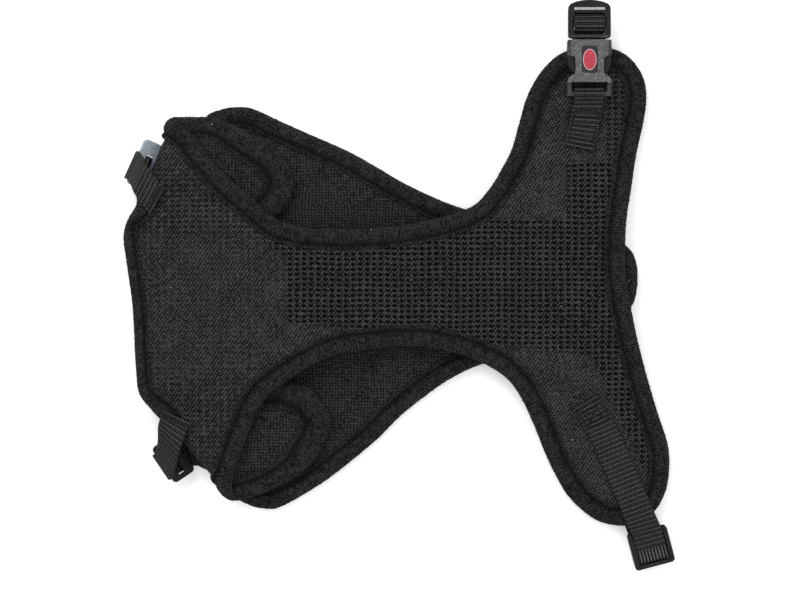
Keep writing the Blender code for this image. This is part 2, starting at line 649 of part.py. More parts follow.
def main():
    for obj in list(bpy.data.objects):
        bpy.data.objects.remove(obj)
    parts = bpy.data.collections.new("dog_harness")
    cutters = bpy.data.collections.new("cutters")
    for collection in (parts, cutters):
        bpy.context.scene.collection.children.link(collection)
    paints = {
        "mesh": paint("open spacer mesh", (0.022, 0.023, 0.026), 0.75),
        "padding": paint("foam", (0.03, 0.03, 0.032), 0.9),
        "lining": paint("fine lining", (0.02, 0.021, 0.025), 0.7),
        "binding": paint("ribbed knit binding", (0.010, 0.010, 0.012), 0.9),
        "webbing": paint("woven webbing", (0.03, 0.03, 0.032), 0.6),
        "buckle": paint("moulded buckle plastic", (0.035, 0.035, 0.035), 0.45),
        "grey": paint("pale grey plastic", (0.27, 0.31, 0.36), 0.4),
        "badge": paint("red badge", (0.55, 0.03, 0.06), 0.4),
        "steel": paint("steel wire", (0.6, 0.6, 0.6), 0.25, 1.0),
    }
    make_chest(parts, paints)
    make_back(parts, paints)
    make_socket(parts, cutters, paints)
    make_plug(parts, cutters, paints)
    make_buckle_webbing(parts, paints)
    make_girth(parts, paints)
    make_slider(parts, cutters, paints)
    make_ring(parts, paints)
    make_shoulders(parts, paints)
    for obj in cutters.objects:
        obj.hide_render = True
        obj.display_type = "WIRE"


main()
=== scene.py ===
# %% [markdown]
# # A soft mesh dog harness, lying flat
#
# The harness has two bound panels of spacer mesh. The chest panel lies on top with its
# shoulder lobes folded under it, and the back panel lies below. Webbing, a side-release
# buckle, a slider, two neck adjusters and a leash ring join them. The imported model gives
# where everything is and how it moves, and this lesson gives it cloth, thread and plastic.
#
# The lesson works in millimetres and turns each finished mesh into metres at the end,
# because cloth and thread sizes are easier to read that way.

# %% Load the frame
import math
import random

import bmesh
import bpy
import numpy as np
from mathutils import Matrix, Vector, noise


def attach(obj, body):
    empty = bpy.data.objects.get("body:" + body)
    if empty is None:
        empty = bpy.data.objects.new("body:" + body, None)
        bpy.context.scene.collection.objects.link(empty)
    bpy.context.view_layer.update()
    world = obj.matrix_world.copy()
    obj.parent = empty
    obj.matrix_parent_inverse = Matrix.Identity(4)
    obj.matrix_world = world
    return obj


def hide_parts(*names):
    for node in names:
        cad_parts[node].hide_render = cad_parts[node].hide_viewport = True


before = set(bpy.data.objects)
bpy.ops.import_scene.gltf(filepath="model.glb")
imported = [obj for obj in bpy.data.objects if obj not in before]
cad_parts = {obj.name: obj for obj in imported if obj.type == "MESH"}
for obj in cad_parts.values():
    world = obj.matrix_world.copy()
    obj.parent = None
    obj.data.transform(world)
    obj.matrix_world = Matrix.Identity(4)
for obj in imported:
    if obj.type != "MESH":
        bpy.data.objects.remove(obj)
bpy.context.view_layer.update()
MM = 0.001
random.seed(7)

# %% [markdown]
# ## Wiring materials
#
# A shader is a tree of small steps. Here a value in the tree is a `Wire`, and arithmetic on a
# wire places Math nodes, so that each finish below reads as a recipe. A node group is a
# recipe of its own with named inputs and outputs, used again in several finishes.


# %% Helpers for shader trees
def plug_in(tree, socket, value):
    if isinstance(value, Wire):
        tree.links.new(value.socket, socket)
    elif isinstance(value, (tuple, list)) and len(value) == 3 and socket.type == "RGBA":
        socket.default_value = (*value, 1)
    else:
        socket.default_value = value


def step(tree, kind, output, given=(), **settings):
    """Places one node and returns one output; given maps its inputs to values."""
    node = tree.nodes.new("ShaderNode" + kind)
    for title, setting in settings.items():
        setattr(node, title, setting)
    for socket, value in dict(given).items():
        plug_in(tree, node.inputs[socket], value)
    return Wire(tree, node.outputs[output])


class Wire:
    """A value in a shader tree."""

    def __init__(self, tree, socket):
        self.tree, self.socket = tree, socket

    def math(self, operation, *others):
        return step(self.tree, "Math", 0, enumerate((self, *others)), operation=operation)

    def __add__(self, other):
        return self.math("ADD", other)

    def __sub__(self, other):
        return self.math("SUBTRACT", other)

    def __mul__(self, other):
        return self.math("MULTIPLY", other)

    def __truediv__(self, other):
        return self.math("DIVIDE", other)

    def sine(self):
        return self.math("SINE")

    def fract(self):
        return self.math("FRACT")

    def wave(self):
        """A sine that swings between 0 and 1."""
        return self.sine() * 0.5 + 0.5

    def ramp(self, low, high, to_low=0.0, to_high=1.0):
        return step(self.tree, "MapRange", 0, enumerate((self, low, high, to_low, to_high)),
                    interpolation_type="SMOOTHSTEP")

    def cloud(self, scale, detail=2.0, roughness=0.5):
        return step(self.tree, "TexNoise", "Fac", {
            "Vector": self, "Scale": scale, "Detail": detail, "Roughness": roughness})

    def split(self):
        node = step(self.tree, "SeparateXYZ", 0, {0: self}).socket.node
        return [Wire(self.tree, output) for output in node.outputs]

    def blend(self, first, second):
        """From the first colour to the second, by this share."""
        return step(self.tree, "Mix", 2, {0: self, 6: first, 7: second}, data_type="RGBA")


def new_group(name, inputs, recipe):
    """A group whose recipe takes its inputs and returns its outputs by name."""
    group = bpy.data.node_groups.new(name, "ShaderNodeTree")
    for title in inputs:
        kind = "Vector" if title in ("Vector", "Cloth") else "Float"
        group.interface.new_socket(title, in_out="INPUT", socket_type="NodeSocket" + kind)
    given = group.nodes.new("NodeGroupInput").outputs
    found = recipe(*(Wire(group, given[title]) for title in inputs))
    for title in found:
        group.interface.new_socket(title, in_out="OUTPUT", socket_type="NodeSocketFloat")
    wanted = group.nodes.new("NodeGroupOutput").inputs
    for title, value in found.items():
        plug_in(group, wanted[title], value)
    return group


def use_group(tree, group, **values):
    given = {title.replace("_", " "): value for title, value in values.items()}
    node = step(tree, "Group", 0, given, node_tree=group).socket.node
    return {output.name: Wire(tree, output) for output in node.outputs}


# %% [markdown]
# ## Shared patterns
#
# Fuzz: every textile here has loose fibre ends, seen as a fine mottle.
# Lint: a few pale specks that dark cloth always picks up.
# Knit ribs: the binding is a knitted tape, whose wales run across its width.
# Web rows: webbing shows rows of beads where its warp goes over the thick weft.
# Mesh holes: the spacer mesh has short slots in straight columns, closed where it is lined.
# Each group measures in millimetres, from a vector or from the piece's own UV map.


# %% Recipes of the shared groups
def fuzz_recipe(vector, size):
    fine = vector.cloud(size, 4.0, 0.7)
    both = fine * 0.88 + vector.cloud(size / 9.0) * 0.12
    return {"Mottle": both.ramp(0.36, 0.64), "Height": fine}


def lint_recipe(vector, spacing):
    cells = step(vector.tree, "TexVoronoi", "Distance", {"Vector": vector, "Scale": spacing})
    chance = Wire(vector.tree, cells.socket.node.outputs["Color"]).split()[0]
    return {"Speck": cells.math("LESS_THAN", 0.045) * chance.math("GREATER_THAN", 0.86)}


LOOP_PITCH = 0.9


def rib_recipe(cloth, pitch, waver):
    """Ribs along V at a pitch, slightly uneven, softened by a waver."""
    across, along, _ = cloth.split()
    turns = (along + waver * cloth.cloud(0.35, 1.0)) / pitch
    return {"Rib": (turns * math.tau).wave(), "Loop": (across * (math.tau / LOOP_PITCH)).wave()}


def web_recipe(cloth, pitch, bead_pitch):
    """Pairs of bead rows across the tape: V along the tape, U across it."""
    across, along, _ = cloth.split()
    turn = along / pitch
    rows = turn * 2.0
    shift = rows.math("FLOOR").math("FLOORED_MODULO", 2.0) * 0.5
    beads = across / bead_pitch + shift
    swell = (beads.fract() * math.pi).sine() * (rows.fract() * math.pi).sine()
    middle = (turn.fract() - 0.5).math("ABSOLUTE")
    return {"Bead": swell.math("POWER", 0.7) * (shift * -0.9 + 1.0),
            "Groove": middle.ramp(0.3, 0.44)}


def hole_recipe(vector, pitch_x, pitch_y, long, high, opened):
    """Slots in straight columns, with the slanting yarns that run between them."""
    x, y, _ = vector.split()
    column, row = x / pitch_x, y / pitch_y
    far_x = ((column.fract() - 0.5) * pitch_x / long).math("ABSOLUTE").math("POWER", 2.5)
    far_y = ((row.fract() - 0.5) * pitch_y / high).math("ABSOLUTE").math("POWER", 2.0)
    turn_x, turn_y = column * math.tau, row * math.tau
    yarn = (turn_x * 2.0 - turn_y).sine() * 0.16 + 0.5
    return {"Hole": (far_x + far_y).ramp(1.5, 0.5) * opened,
            "Yarn": (turn_x + turn_y * 2.0).sine() * 0.14 + yarn}


# %% Build the shared groups
FUZZ = new_group("Fuzz", ("Vector", "Size"), fuzz_recipe)
LINT = new_group("Lint", ("Vector", "Spacing"), lint_recipe)
RIBS = new_group("Knit ribs", ("Cloth", "Pitch", "Waver"), rib_recipe)
WEB_ROWS = new_group("Web rows", ("Cloth", "Pitch", "Bead"), web_recipe)
HOLES = new_group("Mesh holes", ("Vector", "Pitch X", "Pitch Y", "Long", "High", "Open"),
                  hole_recipe)
print("groups", [group.name for group in bpy.data.node_groups])

# %% [markdown]
# ## Finishes
#
# Each finish starts from a Principled shader. Colours are linear values of very dark cloth:
# the harness is black, but black cloth in studio light is a range of dark greys, darkest in
# its holes and grooves and lightest where threads catch the light. Sheen stands for the
# short fibres that brighten cloth at grazing angles.


# %% A blank finish, and coordinates in millimetres
def blank_finish(name, **settings):
    material = bpy.data.materials.new(name)
    material.use_nodes = True
    inputs = material.node_tree.nodes["Principled BSDF"].inputs
    for title, value in settings.items():
        plug_in(material.node_tree, inputs[title.replace("_", " ")], value)
    return material


def dress(material, colour, height=None, millimetres=0.1, strength=1.0, roughness=None):
    """Plugs what changes over the surface into a blank finish."""
    tree = material.node_tree
    inputs = tree.nodes["Principled BSDF"].inputs
    plug_in(tree, inputs["Base Color"], colour)
    if roughness:
        plug_in(tree, inputs["Roughness"], roughness)
    if height:
        plug_in(tree, inputs["Normal"], step(tree, "Bump", 0, {
            "Strength": strength, "Distance": millimetres * MM, "Height": height}))
    return material


def in_millimetres(tree, waver=0.0):
    """Object coordinates in millimetres, bent a little so that a weave isn't ruled."""
    vector = step(tree, "Mapping", 0, {"Vector": step(tree, "TexCoord", "Object"),
                                       "Scale": (1000, 1000, 1000)})
    if not waver:
        return vector
    push = step(tree, "TexNoise", "Color", {"Vector": vector, "Scale": 0.045, "Detail": 1.0})
    return step(tree, "VectorMath", 0, {0: push, 1: (waver, waver, 0), 2: vector},
                operation="MULTIPLY_ADD")


def cloth_map(tree):
    return step(tree, "UVMap", 0, uv_map="cloth")


def share_of(tree, name):
    return step(tree, "Attribute", "Fac", attribute_name=name)


# %% Mesh and lining
def make_spacer_mesh():
    material = blank_finish("spacer mesh", Roughness=0.7, Specular_IOR_Level=0.06)
    tree = material.node_tree
    place = in_millimetres(tree, 1.6)
    holes = use_group(tree, HOLES, Vector=place, Pitch_X=3.45, Pitch_Y=2.6, Long=1.2,
                      High=0.66, Open=share_of(tree, "open"))
    fuzz = use_group(tree, FUZZ, Vector=place, Size=0.85)
    lint = use_group(tree, LINT, Vector=place, Spacing=0.16)["Speck"]
    lit = (holes["Yarn"] * 0.72 + fuzz["Mottle"] * 0.28).ramp(0.36, 0.66)
    thread = holes["Hole"].blend(lit.blend((0.003, 0.003, 0.0035), (0.049, 0.0505, 0.053)),
                                 (0.0004, 0.0004, 0.001))
    height = lit * 0.5 + fuzz["Height"] * 0.2 - holes["Hole"] * 1.5
    return dress(material, lint.blend(thread, (0.3, 0.3, 0.3)), height, 0.5, 0.8)


def make_lining():
    material = blank_finish("lining", Roughness=0.7, Specular_IOR_Level=0.06)
    tree = material.node_tree
    place = in_millimetres(tree, 3.0)
    hole = use_group(tree, HOLES, Vector=place, Pitch_X=1.6, Pitch_Y=1.5, Long=0.42,
                     High=0.42, Open=0.9)["Hole"]
    fuzz = use_group(tree, FUZZ, Vector=place, Size=0.9)
    thread = fuzz["Mottle"].blend((0.003, 0.003, 0.0036), (0.036, 0.037, 0.0395))
    return dress(material, hole.blend(thread, (0.0008, 0.0008, 0.0012)),
                 fuzz["Height"] * 0.3 - hole, 0.3, 0.7)


# %% Knit, webbing and thread
def make_binding():
    material = blank_finish("knit binding", Roughness=1.0, Sheen_Weight=0.02,
                            Sheen_Roughness=0.6, Specular_IOR_Level=0.03)
    tree = material.node_tree
    place = in_millimetres(tree)
    ribs = use_group(tree, RIBS, Cloth=cloth_map(tree), Pitch=1.3, Waver=1.6)
    fuzz = use_group(tree, FUZZ, Vector=place, Size=0.9)
    broad = use_group(tree, FUZZ, Vector=place, Size=0.3)["Mottle"]
    lint = use_group(tree, LINT, Vector=place, Spacing=0.14)["Speck"]
    lit = broad * 0.22 + (ribs["Rib"] * 0.3 + fuzz["Mottle"] * 0.6)
    yarn = lit.ramp(0.2, 0.95).blend((0.0026, 0.0027, 0.003), (0.031, 0.0315, 0.0335))
    # painted shade: the binding is painted darker in and beside the seam's groove, by the seam
    # attribute
    yarn = (share_of(tree, "seam") * 0.85).blend(yarn, (0.0012, 0.0012, 0.0015))
    height = ribs["Loop"] * 0.12 + (ribs["Rib"] * 0.45 + fuzz["Height"] * 1.4)
    return dress(material, lint.blend(yarn, (0.35, 0.35, 0.35)), height, 0.5, 0.9)


def make_webbing_finish(name, cords=False):
    """Cross rows of beads or, where the tape turns over a bar, lengthwise cords."""
    material = blank_finish(name, Roughness=0.5, Specular_IOR_Level=0.15)
    tree = material.node_tree
    cloth = cloth_map(tree)
    rows = use_group(tree, WEB_ROWS, Cloth=cloth, Pitch=2.3, Bead=0.78)
    lit, groove = rows["Bead"], rows["Groove"]
    if cords:
        lit = (cloth.split()[0] * (math.tau / CORD_PITCH)).wave()
        groove = lit.ramp(0.3, 0.0)
    fuzz = use_group(tree, FUZZ, Vector=cloth, Size=1.3)
    lit = (fuzz["Mottle"] * 0.35 + lit).ramp(0.38, 1.2)
    yarn = lit.blend((0.0008, 0.0008, 0.001), (0.1, 0.1, 0.101))
    return dress(material, groove.blend(yarn, (0.0008, 0.0008, 0.001)),
                 lit - groove * 0.8, 0.35, 0.8)


def make_thread(name, dark, light, size, bump, **settings):
    material = blank_finish(name, **settings)
    twist = use_group(material.node_tree, FUZZ, Vector=in_millimetres(material.node_tree),
                      Size=size)
    return dress(material, twist["Mottle"].blend(dark, light), twist["Height"] if bump else None)


CORD_PITCH = 1.25     # twelve warp cords across the tape
BLACK = (0.001, 0.001, 0.0012)
SPACER, LINING_CLOTH, BINDING = make_spacer_mesh(), make_lining(), make_binding()
NAP = make_thread("binding nap", (0.003, 0.003, 0.0034), (0.042, 0.043, 0.047), 0.9, False,
                  Roughness=1.0, Specular_IOR_Level=0.02)
WEBBING = make_webbing_finish("nylon webbing")
TURNED_WEBBING = make_webbing_finish("turned webbing", cords=True)
THREAD, STRAP_THREAD = (
    make_thread(name, BLACK, light, 3.0, True, Roughness=0.6, Specular_IOR_Level=0.12)
    for name, light in (("seam thread", (0.006, 0.006, 0.0065)),
                        ("strap thread", (0.01, 0.01, 0.0105))))
print("textiles", len(bpy.data.materials))

# %% [markdown]
# Moulded parts have a fine spark-eroded grain, a few rubbed places and soft marks. A shared
# grain group gives all three, and each plastic gets its own two colours. The plated ring has
# the same marks as thin scratches in its roughness.


# %% Hard finishes
def grain_recipe(vector, grain, rub):
    speck, rubbed = vector.cloud(grain, 3.0, 0.75), vector.cloud(rub, 3.0, 0.6)
    return {"Speckle": speck.ramp(0.38, 0.66), "Rubbed": rubbed.ramp(0.5, 0.75),
            "Height": speck}


GRAIN = new_group("Moulded grain", ("Vector", "Grain", "Rub"), grain_recipe)


def make_plastic(name, dark, light, roughness, bump=0.05, below=None, **settings):
    """below is a height in millimetres; what is moulded lower than that is painted darker, as
    painted shade of recessed faces.
    """
    material = blank_finish(name, **settings)
    tree = material.node_tree
    place = in_millimetres(tree)
    grain = use_group(tree, GRAIN, Vector=place, Grain=1.3, Rub=0.28)
    colour = grain["Speckle"].blend(dark, light)
    if below is not None:
        # painted shade: faces moulded lower than below, such as the socket's side rails, are
        # painted darker
        low = place.split()[2].ramp(below, below - 0.4)
        colour = (low * 0.75).blend(colour, tuple(value * 0.25 for value in dark))
    worn = tuple(min(1.0, value * 1.5) for value in light)
    return dress(material, (grain["Rubbed"] * 0.35).blend(colour, worn), grain["Height"], bump,
                 0.6, grain["Rubbed"].ramp(0.0, 1.0, roughness, roughness + 0.12))


# 16.2 mm: the socket's faces below it, the side rails among them, get painted shade
FACE_PLASTIC = make_plastic("buckle socket acetal", (0.04, 0.041, 0.042),
                            (0.135, 0.136, 0.138), 0.42, 0.05, 16.2, Specular_IOR_Level=0.35)
DARK_PLASTIC = make_plastic("buckle frame acetal", (0.003, 0.003, 0.0031),
                            (0.015, 0.015, 0.0155), 0.42, Specular_IOR_Level=0.2)
# the ridge's pale colour is a painted highlight of the key light on the plug's top bar
RIDGE_HIGHLIGHT = make_plastic("ridge painted highlight", (0.28, 0.28, 0.29), (0.42, 0.42, 0.44), 0.3)
# black acetal painted pale blue-grey: a painted reflection of the key light on a glossy face
PAINTED_REFLECTION_GREY = make_plastic("black acetal with painted reflection", (0.2, 0.235, 0.27), (0.29, 0.325, 0.365), 0.36)
RECESS = make_plastic("badge recess", (0.004, 0.004, 0.004), (0.009, 0.009, 0.009), 0.3)
ENAMEL = make_plastic("badge enamel", (0.33, 0.012, 0.03), (0.44, 0.02, 0.045), 0.18, 0.02,
                      Coat_Weight=0.6, Coat_Roughness=0.08)
RIM_METAL = make_plastic("badge rim", (0.5, 0.4, 0.42), (0.62, 0.52, 0.54), 0.3, 0.02)
STEEL = make_plastic("plated steel", (0.5, 0.5, 0.51), (0.62, 0.62, 0.64), 0.2, 0.02,
                     Metallic=1.0)
print("hard finishes", len(bpy.data.materials))

# %% [markdown]
# ## The harness's own geometry
#
# The panels are flat patterns that lie in a stack. A point of a panel is given by its place
# on the pattern and by how far it stands off the panel's middle surface, so one function
# lays cloth, binding and stitches alike. The shoulder lobes turn under round two straight
# folds, and the function rolls them round with the right radius.

# %% Driving sizes
WEB, WEB_THICK = 15.0, 1.1
HALF = 3.1            # half the thickness of a bound edge
GAP = 0.4             # clear gap between layers that lie on each other
BACK_Z = HALF
LOBE_Z = BACK_Z + 2 * HALF + GAP
CHEST_Z = LOBE_Z + 2 * HALF + GAP
BEND_R = (CHEST_Z - LOBE_Z) / 2
TAIL_RISE = 4.3       # the tail rides up on the leash ring and its webbing
WING_Z = HALF + 3.5   # the wings rest on the girth straps
FACE = 1.9            # the pad's faces stand this far off its middle

NECK_UPPER, NECK_UPPER_LEFT = (-115.5, 85.0), (-132.5, 42.0)
NECK_LOWER, NECK_LOWER_LEFT = (-85.0, -108.5), (-118.0, -70.5)
TOP_EDGE = [(-103.5, 75.5), (-97, 67), (-85, 53.5), (-73.5, 43.5), (-64.5, 35.5),
            (-55.5, 31), (-39, 28.5), (-16.5, 28.5), (11, 32), (34.5, 39), (44.5, 48.5),
            (51, 59), (56, 69), (60, 83), (64, 96), (71.5, 108.5), (81.5, 117)]
UPPER_TIP = [(94, 119.6), (106, 119), (115, 114.5), (121.5, 105.5), (123.5, 95), (122, 82)]
TAIL_EDGE = [(118.5, 66.5), (115.5, 48.5), (113, 33.5), (112.2, 20), (112.7, 3),
             (117.5, -22.5), (122.5, -41.5), (129, -63), (134, -78.5), (135, -90)]
LOWER_TIP = [(133.5, -101.5), (129, -111), (122, -117.8), (112, -120.2), (100.5, -118.3),
             (92, -113), (84, -105), (78, -95)]
BOTTOM_EDGE = [(72.5, -83.5), (67.5, -71), (61, -57), (53.5, -46.5), (42, -39), (26, -33),
               (5.5, -30), (-22.5, -32.5), (-33.5, -35), (-47, -41.5), (-58, -48.5),
               (-67, -56), (-73.5, -68.5), (-79, -83), (-83, -95)]
LEFT_EDGE = [(-122.8, -63), (-129.5, -53), (-131.5, -38), (-133, -10), (-137, 20), (-136.6, 32)]
UPPER_LOBE = [(-97, 84.5), (-89, 83), (-76, 77), (-62.5, 69), (-55.5, 60), (-53, 51),
              (-55, 43.5), (-60, 36.5), (-69, 30), (-82.5, 27), (-100, 29), (-117.5, 35.5)]
LOWER_LOBE = [(-72.5, -105), (-61.5, -100.5), (-50, -94), (-42.5, -86), (-37, -76),
              (-34.5, -67), (-38, -59.5), (-44.5, -51.5), (-51.5, -48.5), (-62.5, -46),
              (-77.5, -47), (-95, -53), (-110, -62)]
BACK_EDGE = [(-97, 85.5), (-89, 89), (-81.5, 90), (-73.5, 89), (-61.5, 83.5), (-47, 77),
             (-26.5, 68), (-12, 60), (5.5, 50), (30, 39.5), (60, 32), (90, 26), (109, 22),
             (115.5, 18), (118.5, 11), (119, 3), (118, -5), (114.5, -11.5), (100, -18.5),
             (70, -29.5), (41.5, -39), (25.5, -46.5), (12.5, -55.5), (0, -65.5),
             (-12, -77.5), (-33.5, -95), (-47, -104), (-60, -111), (-67, -112), (-76, -110),
             (-84, -104), (-89, -87), (-91, -67), (-87, -37), (-84, -7), (-86, 23),
             (-92, 53), (-98.5, 76)]
print("stack, mm:", BACK_Z, LOBE_Z, CHEST_Z)


# %% Curves through points
def smooth(value):
    value = min(max(value, 0.0), 1.0)
    return value * value * (3 - 2 * value)


def curve_through(points, closed, samples=8):
    """Points along a Catmull-Rom curve; the points may have any number of coordinates."""
    rows = np.array(points, float)
    count = len(rows)
    found = []
    for span in range(count if closed else count - 1):
        if closed:
            a, b, c, d = (rows[(span + k - 1) % count] for k in range(4))
        else:
            b, c = rows[span], rows[span + 1]
            a = rows[span - 1] if span else 2 * b - c
            d = rows[span + 2] if span + 2 < count else 2 * c - b
        for t in np.arange(samples) / samples:
            found.append(0.5 * (2 * b + (c - a) * t + (2 * a - 5 * b + 4 * c - d) * t ** 2
                                + (3 * b - a - 3 * c + d) * t ** 3))
    if not closed:
        found.append(rows[-1])
    return np.array(found)


def evenly(line, step, closed, measured=3):
    """The same line with points about one step apart, and its length."""
    if closed:
        line = np.vstack([line, line[:1]])
    spans = np.linalg.norm(np.diff(line[:, :measured], axis=0), axis=1)
    at = np.concatenate([[0], np.cumsum(spans)])
    count = max(3, round(at[-1] / step))
    places = np.linspace(0, at[-1], count + 1)
    if closed:
        places = places[:-1]
    return np.stack([np.interp(places, at, column) for column in line.T], axis=1), at[-1]


def smoothed(values, reach):
    """A closed row of vectors, each averaged with its neighbours."""
    kernel = np.hanning(2 * reach + 3)[1:-1]
    kernel /= kernel.sum()
    padded = np.concatenate([values[-reach:], values, values[:reach]])
    return np.stack([np.convolve(column, kernel, "valid") for column in padded.T], axis=1)


def inward_normals(outline, reach):
    """Unit normals of a closed outline, pointing inwards and fanned smoothly at corners."""
    along = np.roll(outline, -1, axis=0) - np.roll(outline, 1, axis=0)
    x, y = outline.T
    area = np.sum(x * np.roll(y, -1) - np.roll(x, -1) * y)
    normals = np.stack([-along[:, 1], along[:, 0]], axis=1) * (1 if area > 0 else -1)
    normals = smoothed(normals / np.linalg.norm(normals, axis=1, keepdims=True), reach)
    return normals / np.linalg.norm(normals, axis=1, keepdims=True)


# %% Folds and heights
class Fold:
    """A straight fold between two corners of the silhouette; the lobe beyond it lies below."""

    def __init__(self, start, end):
        along = (Vector(end) - Vector(start)).normalized()
        self.out = Vector((along.y, -along.x))
        if self.out.x > 0:
            self.out = -self.out
        self.origin = Vector(start) - self.out * (BEND_R + HALF)

    def silhouette(self):
        return self.origin + self.out * (BEND_R + HALF)

    def beyond(self, point):
        return (point - self.origin).dot(self.out)

    def unfold(self, point):
        point = Vector(point)
        return point + self.out * (math.pi * BEND_R - 2 * self.beyond(point))

    def place(self, point, offset):
        far = self.beyond(point)
        angle = min(far / BEND_R, math.pi)
        back = max(far - math.pi * BEND_R, 0.0)
        flat = point + self.out * ((BEND_R + offset) * math.sin(angle) - back - far)
        return Vector((*flat, CHEST_Z - BEND_R + (BEND_R + offset) * math.cos(angle)))


UPPER_FOLD = Fold(NECK_UPPER, NECK_UPPER_LEFT)
LOWER_FOLD = Fold(NECK_LOWER, NECK_LOWER_LEFT)


def back_height(x, y):
    return BACK_Z + TAIL_RISE * smooth((x - 5) / 65)


def chest_height(x, y):
    """Level over the lobes and the back panel, with the wings drooping."""
    level = CHEST_Z + (BACK_Z + TAIL_RISE + 2 * HALF + GAP - CHEST_Z) * smooth((x + 30) / 90)
    upper = y - (39.5 - 0.23 * (x - 30))
    lower = -39 + 0.41 * (x - 41.5) - y
    droop = smooth(max(upper, lower) / 60) * smooth((x - 15) / 40)
    return level + (WING_Z - level) * droop


def on_height(height, x, y, offset):
    middle = height(x, y)
    normal = Vector((middle - height(x + 1, y), middle - height(x, y + 1), 1)).normalized()
    return Vector((x, y, middle)) + normal * offset


def chest_point(x, y, offset):
    point = Vector((x, y))
    for fold in (UPPER_FOLD, LOWER_FOLD):
        if fold.beyond(point) > 0:
            return fold.place(point, offset)
    return on_height(chest_height, x, y, offset)


def back_point(x, y, offset):
    """The back panel's outer face is underneath, so its offsets run downwards."""
    return on_height(back_height, x, y, -offset)


# %% The two patterns
def chest_pattern():
    """The chest panel's bound edge, opened flat: its lobes swing out round the folds."""
    turns = [(fold, fold.out * (math.pi * BEND_R / 2 - BEND_R - HALF))
             for fold in (UPPER_FOLD, LOWER_FOLD)]
    upper, lower = ([tuple(fold.unfold(point)) for point in lobe]
                    for fold, lobe in ((UPPER_FOLD, UPPER_LOBE), (LOWER_FOLD, LOWER_LOBE)))
    top, low, low_left, top_left = (tuple(Vector(corner) + turn) for corner, turn in (
        (NECK_UPPER, turns[0][1]), (NECK_LOWER, turns[1][1]),
        (NECK_LOWER_LEFT, turns[1][1]), (NECK_UPPER_LEFT, turns[0][1])))
    return (TOP_EDGE + UPPER_TIP + TAIL_EDGE + LOWER_TIP + BOTTOM_EDGE + [low] + lower
            + [low_left] + LEFT_EDGE + [top_left] + upper[::-1] + [top])


RIB_STEP = 0.65       # two stations for each rib of the binding
chest_edge, chest_round = evenly(curve_through(chest_pattern(), True), RIB_STEP, True)
back_edge, back_round = evenly(curve_through(BACK_EDGE, True), RIB_STEP, True)
print(f"bound edges: chest {chest_round:.0f} mm, back {back_round:.0f} mm")

# %% [markdown]
# ## Making pieces
#
# Most of the harness is strips and bands, so the main tool is a grid from
# `bmesh.ops.create_grid` that is wound into place: one way along the strip, the other way
# round its section. The seam is merged, open ends are filled, and the UV map keeps the
# cloth's own millimetres, so that a weave follows every bend.


# %% Winding a grid into a piece
def wound(columns, rows, place, map_size, whole_ring=False, marks=()):
    """A grid with columns round the section and rows along; place(i, k) gives each point.

    marks is (name, values) for an attribute that has one value for each column.
    """
    bm = bmesh.new()
    bmesh.ops.create_grid(bm, x_segments=columns, y_segments=rows, size=1)
    cloth = bm.loops.layers.uv.new("cloth")
    layer = bm.verts.layers.float.new(marks[0]) if marks else None
    steps = {vert: (round((vert.co.x + 1) / 2 * columns), round((vert.co.y + 1) / 2 * rows))
             for vert in bm.verts}
    for face in bm.faces:
        for corner in face.loops:
            i, k = steps[corner.vert]
            corner[cloth].uv = (i / columns * map_size[0], k / rows * map_size[1])
    for vert, (i, k) in steps.items():
        vert.co = place(i % columns, k % rows if whole_ring else k)
        if marks:
            vert[layer] = marks[1][i % columns]
    bmesh.ops.remove_doubles(bm, verts=bm.verts[:], dist=1e-4)
    if not whole_ring:
        ends = [edge for edge in bm.edges if edge.is_boundary]
        bmesh.ops.holes_fill(bm, edges=ends, sides=0)
    bmesh.ops.recalc_face_normals(bm, faces=bm.faces[:])
    return bm


def put_in_scene(name, data):
    obj = bpy.data.objects.new(name, data)
    bpy.context.scene.collection.objects.link(obj)
    return obj


def new_object(name, bm):
    data = bpy.data.meshes.new(name)
    bm.to_mesh(data)
    bm.free()
    return put_in_scene(name, data)


def finished(name, bm, body, finish, replaced=()):
    """The mesh in metres as an object at the origin, riding on its body."""
    bmesh.ops.scale(bm, vec=(MM, MM, MM), verts=bm.verts[:])
    obj = new_object(name, bm)
    for material in finish if isinstance(finish, list) else [finish]:
        obj.data.materials.append(material)
    obj.data.shade_smooth()
    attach(obj, body)
    if replaced:
        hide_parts(*replaced)
    return obj


def make_real(obj):
    """Puts what the modifiers do into the object's own mesh."""
    graph = bpy.context.evaluated_depsgraph_get()
    data = bpy.data.meshes.new_from_object(obj.evaluated_get(graph))
    obj.modifiers.clear()
    old, obj.data = obj.data, data
    bpy.data.meshes.remove(old)


# %% [markdown]
# ## Padded panels
#
# A panel is two skins over thin foam: the open spacer mesh outside and a fine lining inside.
# Its rim is squeezed flat by the binding, so the cloth crowns up from the rim. The panel
# starts as a grid cut to the pattern, doubled with `solidify`, and laid into the stack.
# Blender's cloth then puffs it with a little air while the rim and the sewn places are
# pinned, and a cap keeps the layers clear of each other. The lobes' roll at the folds is
# pinned too, because cloth would buckle there.

# %% Sizes of the pads
CELL = 4.0            # cloth cell before the last subdivision
RIM = 3.0             # the pad stops this far inside the bound edge
HELD = 9.0            # what the binding holds, from the bound edge
CAP = 0.9             # the most that the foam puffs, and it stays under half the clear room
PUFF_FRAMES = 12


